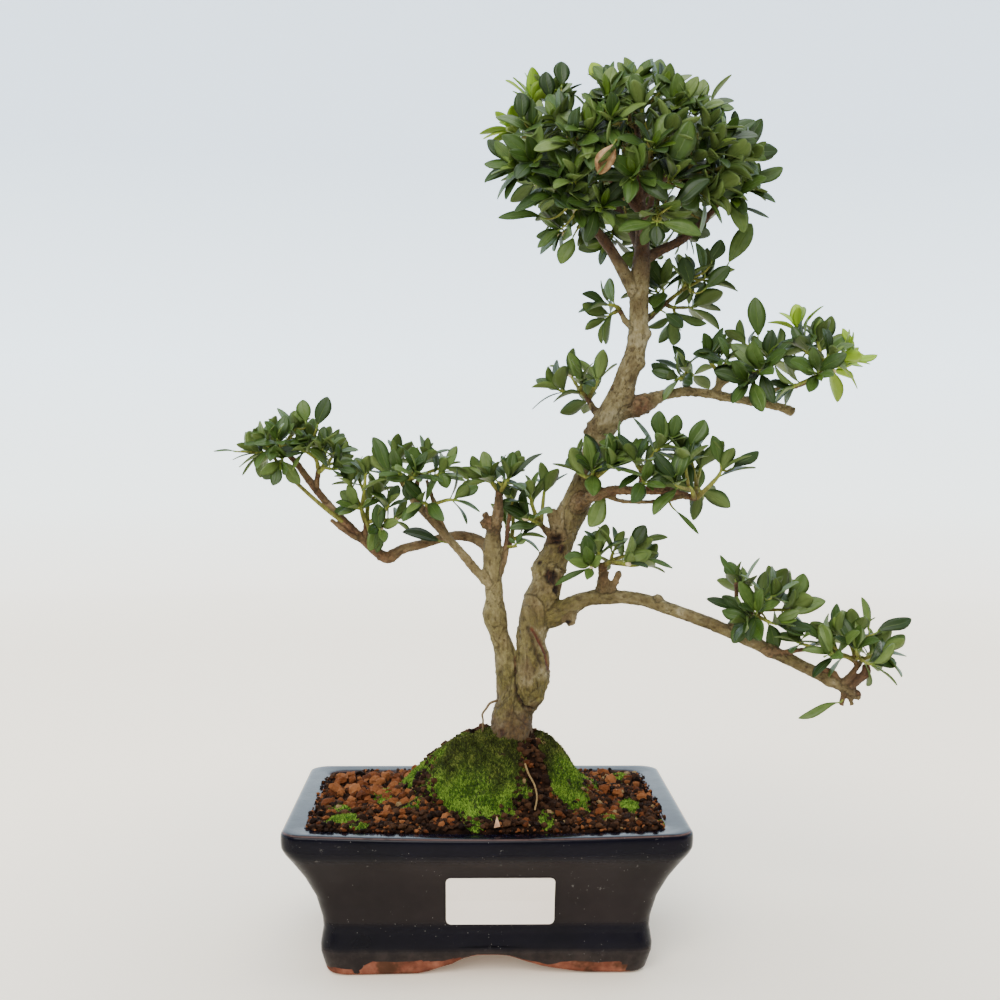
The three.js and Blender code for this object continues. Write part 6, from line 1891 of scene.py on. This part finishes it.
class Mat:
    """One mat of moss: where it lies, how its edge wavers and how high its cushion is."""

    def __init__(self, x, y, half_x, half_y, thick, shoots, seed, drying=TUFT_DRYING, lean=0.0):
        self.x, self.y, self.half_x, self.half_y = x, y, half_x, half_y
        self.thick, self.shoots, self.seed, self.drying, self.lean = thick, shoots, seed, drying, lean
        self.random = Stream(seed)
        self.wave = [self.random.next() * WHOLE_TURN for _ in range(4)]

    def reach(self, angle):
        wavy = zip((0.1, 0.08, 0.07, 0.05), (3, 5, 9, 14), self.wave)
        return 1 + sum(size * math.sin(times * angle + shift) for size, times, shift in wavy)

    def place(self, angle, out):
        """A point of the mat; a leaning one runs to the right towards the front."""
        reach = out * self.reach(angle)
        away = self.half_y * reach * math.sin(angle)
        return self.x + self.half_x * reach * math.cos(angle) - self.lean * away, self.y + away

    def top(self, x, y, out):
        """The height of the cushion; hummocks and hollows fade out towards the edge."""
        hummocks = clouds(x, y, 0.16, self.seed) + 0.6 * clouds(x, y, 0.4, 3)
        swell = 0.7 * self.thick * (1 - min(out, 1) ** 4)
        return float(soil_height(x, y)) + swell + 0.55 * self.thick * hummocks * (1 - min(out, 1) ** 2)

    def is_gap(self, x, y, out):
        """Whether the soil shows through here: at a frayed edge and in some hollows."""
        frayed = clouds(x, y, 0.42, 7.0 + self.seed)
        hollow_shade = clouds(x, y, 0.2, 1.5 * self.seed)
        return frayed > 1.1 - 1.15 * out**4 or frayed + hollow_shade > 0.85

    def cushion(self, skin):
        """The closed cushion under the shoots, which is bare soil where there are none."""
        around, rows = 56, 14
        rings, bare = [], []
        for j in range(rows + 1):
            out = 1 - j / (rows + 0.3)
            ring = []
            for i in range(around):
                x, y = self.place(i / around * 2 * math.pi, out)
                ring.append((x, y, self.top(x, y, out) - 0.4 - (1.0 if j == 0 else 0)))
                bare.append(1.0 if self.is_gap(x, y, out) or out > 0.9 else 0.2)
            rings.append(ring)
        rings.insert(0, [(x, y, z - 3) for x, y, z in rings[0]])
        bare = [1.0] * around + bare
        faces = tube_faces(len(rings), around)
        # the cushion under the shoots gets painted shade
        skin.add(np.array(rings).reshape(-1, 3), faces, tint=0.4, tip=0.5, dry=0.4, bare=bare)

    def grow(self, skin):
        """Short leafy shoots all over the cushion."""
        random = self.random
        shoots = self.shoots
        made = 0
        while made < shoots:
            angle, out = random.next() * 2 * math.pi, math.sqrt(random.next()) * 1.06
            x, y = self.place(angle, out)
            made += 1
            if self.is_gap(x, y, out) and random.next() < 0.86:
                continue
            foot = vec(x, y, self.top(x, y, out) - 0.5)
            lean = vec(random.between(-0.9, 0.9), random.between(-0.9, 0.9), 1)
            clump = clouds(x, y, 0.9, 2.0 * self.seed)
            broad = clouds(x, y, 0.17, 5.0 + self.seed)
            height = random.between(0.8, 1.6) * (1 + 0.5 * clump)
            width = random.between(0.3, 0.5)
            spin = random.next() * 2.1
            turns = [spin + k * THIRD_TURN for k in range(3)]
            base = [foot + width * vec(math.cos(turn), math.sin(turn), 0) for turn in turns]
            top = foot + height * unit(lean)
            dry = 0.5 + 0.5 * math.tanh((foot[2] - DRY_ABOVE) / 7 + 2.4 * clouds(x, y, 0.09, 1.0))
            tint = 0.54 + 0.55 * clump + 0.5 * broad + 0.85 * (random.next() - 0.5) - 0.3 * dry * self.drying
            # the shoot's foot gets painted shade, its tip none
            skin.add(
                [*base, top],
                SHOOT_FACES,
                tint=min(1.0, max(0.0, tint)),
                tip=[0.55, 0.55, 0.55, 1.0],
                dry=min(1.0, self.drying * dry),
            )


def moss(name, material):
    skin = Skin("tint", "tip", "dry", "bare")
    mat = Mat(*MOSS[name])
    mat.cushion(skin)
    mat.grow(skin)
    hand_in(mesh_object(name + "_look", skin, material, smooth=False), name)


def tufts(material):
    """Small tufts of moss between the mats."""
    skin = Skin("tint", "tip", "dry", "bare")
    for numbers in TUFTS:
        mat = Mat(*numbers)
        mat.cushion(skin)
        mat.grow(skin)
    piece = mesh_object("moss_tufts", skin, material, smooth=False)
    hand_in(piece)


# Pot


def arch_height(points):
    """How high the pot's lower edge stands over the table at each point of a ring."""
    heights = np.zeros(len(points))
    for i, (x, y) in enumerate(points):
        on_long_side = abs(y) / POT_DEPTH > 0.345
        on_short_side = abs(x) / POT_LENGTH > 0.388
        if on_long_side:
            rise = np.interp(x, *zip(*ARCH_FRONT)) if y < 0 else np.interp(abs(x), *zip(*ARCH))
            heights[i] = max(heights[i], rise)
        if on_short_side:
            heights[i] = max(heights[i], np.interp(abs(y), *zip(*SIDE_ARCH)))
    return heights


# above the arches: heights of the rings up the wall
WALL_RINGS = [
    14, 16, 18, 20, 22, 24.5, 27, 31, 35, 38, 42, 45.5, 48.7, 52, 55, 57.5, 60, 61.6, 62.8, 63.8, 64.6,
]
# the rim, from outside to inside: height, inset, and how thin the glaze is
RIM_RINGS = [
    (65.4, 0, 0), (67, -0.1, 0), (69, -0.1, 0), (70.6, 0, 0), (71.5, 0.1, 0), (72.05, 0.35, 0),
    (72.3, 0.6, 0.5), (72.5, 0.85, 1.0), (72.68, 1.15, 0.8), (72.8, 1.5, 0.0), (72.9, 2.8, 0), (72.8, 5, 0),
    (72.6, 8, 0), (72.5, 10, 0.0), (72.35, 10.8, 0.2), (72.1, 11.4, 0.6), (71.5, 11.9, 0.2), (70, 12.05, 0),
]
INSIDE_RINGS = (66, 60, 54, 48.7, 43, 38, 29, 20, 17)
POT_CORNER_STEPS = 8
# the first rings, on the pot's underside, have no glaze
UNGLAZED_RINGS = 7


class PotRings:
    """The rings of the pot, from under its floor over the rim to its floor inside."""

    def __init__(self):
        self.feet = arch_height(pot_outline(18.5, POT_CORNER_STEPS))
        self.count = len(self.feet)
        self.rings = []
        self.breaks = []

    def add(self, flat, z, thin=0.0):
        self.rings.append(np.column_stack([flat, np.broadcast_to(z, self.count)]))
        self.breaks.append(np.full(self.count, thin))

    def level(self, inset, height, thin=0.0):
        self.add(pot_outline(inset, POT_CORNER_STEPS), float(height), thin)

    def under(self, inset, lift, least, most):
        """A ring of the underside, which follows the arches between two heights."""
        flat = pot_outline(inset, POT_CORNER_STEPS)
        self.add(flat, np.minimum(np.maximum(least, self.feet + lift), most))

    def arched(self, out, height, low):
        """A ring of the wall that follows the arches, low above their edge."""
        feet = self.feet
        z = feet + low + (height - low) * (1 - feet / 14) if height > low else feet + low
        insets = out + value_at(POT_WALL, z)
        self.add(np.array([pot_outline(inset, POT_CORNER_STEPS)[i] for i, inset in enumerate(insets)]), z)


def pot(material):
    skin = Skin("break", "bare")
    made = PotRings()

    # from under the floor out to the feet, up the wall, over the rim and down inside
    made.level(40, FLOOR_UNDERSIDE)
    made.level(28.5, FLOOR_UNDERSIDE)
    made.level(27.6, FLOOR_UNDERSIDE - 0.4)
    made.under(26.6, 0.8, 5.0, FLOOR_UNDERSIDE - 0.5)
    made.under(26.2, 0.8, 0.8, FLOOR_UNDERSIDE - 0.5)
    made.under(25.4, 0.0, 0.0, FLOOR_UNDERSIDE - 0.3)
    made.under(20.6, 0.0, 0.0, FLOOR_UNDERSIDE - 0.3)
    for low, out in ((0.0, 1.1), (0.35, 0.45), (1.0, 0.1), (1.9, 0.0)):
        made.arched(out, low, low)
    for height in (3.0, 4.2, 5.4, 6.6, 7.8, 9.0, 10.4, 12):
        made.arched(0.0, height, 1.9)
    for height in WALL_RINGS:
        made.level(value_at(POT_WALL, height), height)
    for height, inset, thin in RIM_RINGS:
        made.level(inset, height, thin)
    for height in INSIDE_RINGS:
        made.level(value_at(POT_INSIDE, height), height)
    made.level(27.5, FLOOR_TOP)
    made.level(40, FLOOR_TOP)
    points = np.vstack(made.rings)
    points[:, 0] *= value_at(POT_STRETCH, points[:, 2])
    # the back of the rim and the left end of the front's base stand out a little
    high = np.clip((points[:, 2] - 50) / 15, 0, 1)
    points[:, 1] += 2 * high * (points[:, 1] > 0)
    base = np.clip(1 - points[:, 2] / 14, 0, 1) * (points[:, 1] < -40)
    points[:, 1] -= 2.5 * base * np.clip(-points[:, 0] / 60, 0.3, 1)
    # handmade unevenness of the rim, most of it in the middle of the front
    rim = np.clip((points[:, 2] - 56) / 9, 0, 1)
    sag = rim * np.clip(-points[:, 1] / 50, 0, 1) * np.clip(1 - (points[:, 0] / 95) ** 2, 0, 1)
    points[:, 2] -= RIM_SAG * sag
    points[:, 1] -= RIM_BOW * sag
    x, y, z = points.T
    edge = 4.6 + 1.2 * np.sin(x / 13 + 1.0) + 0.8 * np.sin(x / 5.1) + 1.4 * np.sin(y / 11 + 0.4)
    front = np.interp(x, *zip(*GLAZE_EDGE)) + 0.3 * np.sin(x / 3.1) + 0.12 * np.sin(x / 1.3 + 1)
    edge = np.where(y < -40, front, edge)
    arch = np.tile(made.feet, len(made.rings))
    edge = np.where((np.abs(x) > 50) & (y < -40), edge, np.maximum(edge, arch + 0.5))
    bare = np.clip(0.5 + (edge - z) / 1.2, 0, 1)
    unglazed = np.zeros(len(points))
    unglazed[: UNGLAZED_RINGS * made.count] = 1.0
    values = {"break": np.concatenate(made.breaks), "bare": np.maximum(bare, unglazed)}
    skin.add(points, tube_faces(len(made.rings), made.count), **values)
    body = mesh_object("pot_look", skin, material)
    body.data.set_sharp_from_angle(angle=math.radians(50))
    drill(body)
    hand_in(body, "pot")


def drill(made):
    """Bores the two drainage holes."""
    cutters = []
    for x in DRAIN_PLACES:
        bpy.ops.mesh.primitive_cylinder_add(vertices=32, radius=DRAIN_RADIUS * MM, depth=0.02)
        cutter = bpy.context.object
        centre = (vec(x, 0, (FLOOR_UNDERSIDE + FLOOR_TOP) / 2) + POT_PLACE) * MM
        cutter.data.transform(Matrix.Translation(Vector(centre)))
        modifier = made.modifiers.new("hole", "BOOLEAN")
        modifier.object = cutter
        modifier.operation = "DIFFERENCE"
        cutters.append(cutter)
    apply_modifiers(made)
    for cutter in cutters:
        bpy.data.objects.remove(cutter)


# Stage, light and camera


def stage_piece(name, points, faces, look):
    mesh = bpy.data.meshes.new(name)
    mesh.from_pydata(points, [], faces)
    mesh.polygons.foreach_set("use_smooth", [True] * len(mesh.polygons))
    mesh.materials.append(look)
    made = bpy.data.objects.new(name, mesh)
    bpy.context.scene.collection.objects.link(made)
    return made


def studio():
    look = Look("glowing_paper_sweep", Specular_IOR_Level=0.1, Emission_Strength=1.0)
    place = look.place()
    height, depth = look.part(place, "Z"), look.part(place, "Y")
    up = look.times(height, 1.1, clamp=True)
    behind = look.between(depth, -0.9, -0.1, 0.0, 1.0)
    paper = look.shades(
        up, (0.0, 240, 230, 214), (0.16, 236, 237, 233), (0.45, 222, 236, 243), (0.9, 205, 219, 232)
    )
    # the camera side of the sweep is darker grey paper that does not glow: painted shade for a dim room
    # behind the camera
    paper = look.mix(behind, srgb(120, 118, 116), paper)
    # the sweep glows though it is no lamp: painted light, warm on the floor, brightest low on the sweep,
    # bluish higher up
    glow = look.ramp(
        up,
        [
            (0.0, (0.75, 0.62, 0.46, 1)),
            (0.04, (1.1, 1.0, 0.86, 1)),
            (0.16, (1.2, 1.3, 1.25, 1)),
            (0.45, (1.12, 1.25, 1.38, 1)),
            (0.9, (0.7, 0.8, 0.92, 1)),
        ],
    )
    # the floor's glow is dimmed round the pot: painted shade that darkens the floor there like a contact
    # shadow
    out = look.node("VectorMath", operation="LENGTH")
    look.set(out.inputs[0], place)
    near = look.between(out.outputs["Value"], 0.13, 0.5, 0.3, 1.0)
    glow = look.mix(look.times(behind, near), (0.0, 0.0, 0.0, 1), glow)
    look.set(look.shader.inputs["Emission Color"], glow)
    # a sweep that turns up behind and around the plant, so that every view has a plain pale background
    points, faces = [], []
    around = 64
    profile = [
        (0.0, 0.0), (0.5, 0.0), (1.1, 0.0), (1.4, 0.02), (1.65, 0.1), (1.85, 0.26), (2.0, 0.5), (2.08, 0.9),
        (2.1, 2.2),
    ]
    for radius, z in profile:
        for i in range(around):
            angle = i / around * 2 * math.pi
            points.append((max(radius, 0.001) * math.cos(angle), max(radius, 0.001) * math.sin(angle), z))
    for j in range(len(profile) - 1):
        for i in range(around):
            a, b = j * around + i, j * around + (i + 1) % around
            faces.append((a, b, b + around, a + around))
    faces.append(tuple(range(around)))
    sweep = look.finish(paper, 0.6)
    # its glow is wide and even, so it needs no light samples of its own
    sweep.cycles.emission_sampling = "NONE"
    stage_piece("sweep", points, faces, sweep)


def area_light(name, place, target, size, power, colour=(1, 1, 1)):
    data = bpy.data.lights.new(name, "AREA")
    data.shape = "RECTANGLE"
    data.size, data.size_y = size
    data.energy = power
    data.color = colour
    made = bpy.data.objects.new(name, data)
    made.location = place
    made.rotation_euler = (Vector(target) - Vector(place)).to_track_quat("-Z", "Y").to_euler()
    bpy.context.scene.collection.objects.link(made)


def lights():
    world = bpy.data.worlds.new("room")
    bpy.context.scene.world = world
    world.use_nodes = True
    background = world.node_tree.nodes["Background"]
    background.inputs["Color"].default_value = (0.91, 0.955, 1.0, 1)
    background.inputs["Strength"].default_value = 1.1
    area_light("key", (-0.5, -1.6, 1.3), (0, 0, 0.2), (1.3, 1.3), 52, (1, 0.98, 0.94))
    area_light("top", (0.1, 0.2, 2.1), (0, 0, 0.2), (1.8, 1.8), 32, (0.97, 0.99, 1))


CAMERA_FOCAL = 1350
PICTURE = 1000
SENSOR = 36
CAMERA_PLACE = (-8.9, -688.5, 256)
CAMERA_YAW = math.radians(1.29)
CAMERA_PITCH = math.radians(2.48)
CAMERA_ROLL = math.radians(0.22)


def camera():
    data = bpy.data.cameras.new("view")
    data.sensor_width = SENSOR
    data.lens = SENSOR * CAMERA_FOCAL / PICTURE
    data.clip_end = 20
    made = bpy.data.objects.new("view", data)
    turn = Matrix.Rotation(-CAMERA_YAW, 4, "Z") @ Matrix.Rotation(math.pi / 2 - CAMERA_PITCH, 4, "X")
    place = Matrix.Translation(Vector((np.array(CAMERA_PLACE) + POT_PLACE) * MM))
    made.matrix_world = place @ turn @ Matrix.Rotation(CAMERA_ROLL, 4, "Z")
    bpy.context.scene.collection.objects.link(made)
    bpy.context.scene.camera = made


def main():
    foliage = foliage_look()
    for i, (name, (branch, tips)) in enumerate(all_sprays().items()):
        spray(name, branch, tips, 101 + 37 * i, foliage)
    limbs = Limbs()
    single_leaves(limbs, foliage)
    bark = bark_look()
    trunk(limbs, bark)
    air_root(bark)
    soil(soil_look())
    green = moss_look()
    for name in MOSS:
        moss(name, green)
    tufts(green)
    pot(glaze_look())
    nodes = frame["nodes"]
    paper = plain_look("label_paper", (srgb(250, 240, 230), srgb(255, 247, 238)), 30, 0.45)
    chip = plain_look("dry_wood", (srgb(150, 106, 78), srgb(198, 156, 122)), 500, 0.8, 0.0004)
    mesh_plastic = plain_look("drain_screen", (srgb(24, 24, 24), srgb(34, 34, 34)), 200, 0.6)
    looks = {"label": paper, "splinter": chip, "screen_left": mesh_plastic, "screen_right": mesh_plastic}
    for node, look in looks.items():
        nodes[node].data.materials.clear()
        nodes[node].data.materials.append(look)
    studio()
    lights()
    camera()


main()
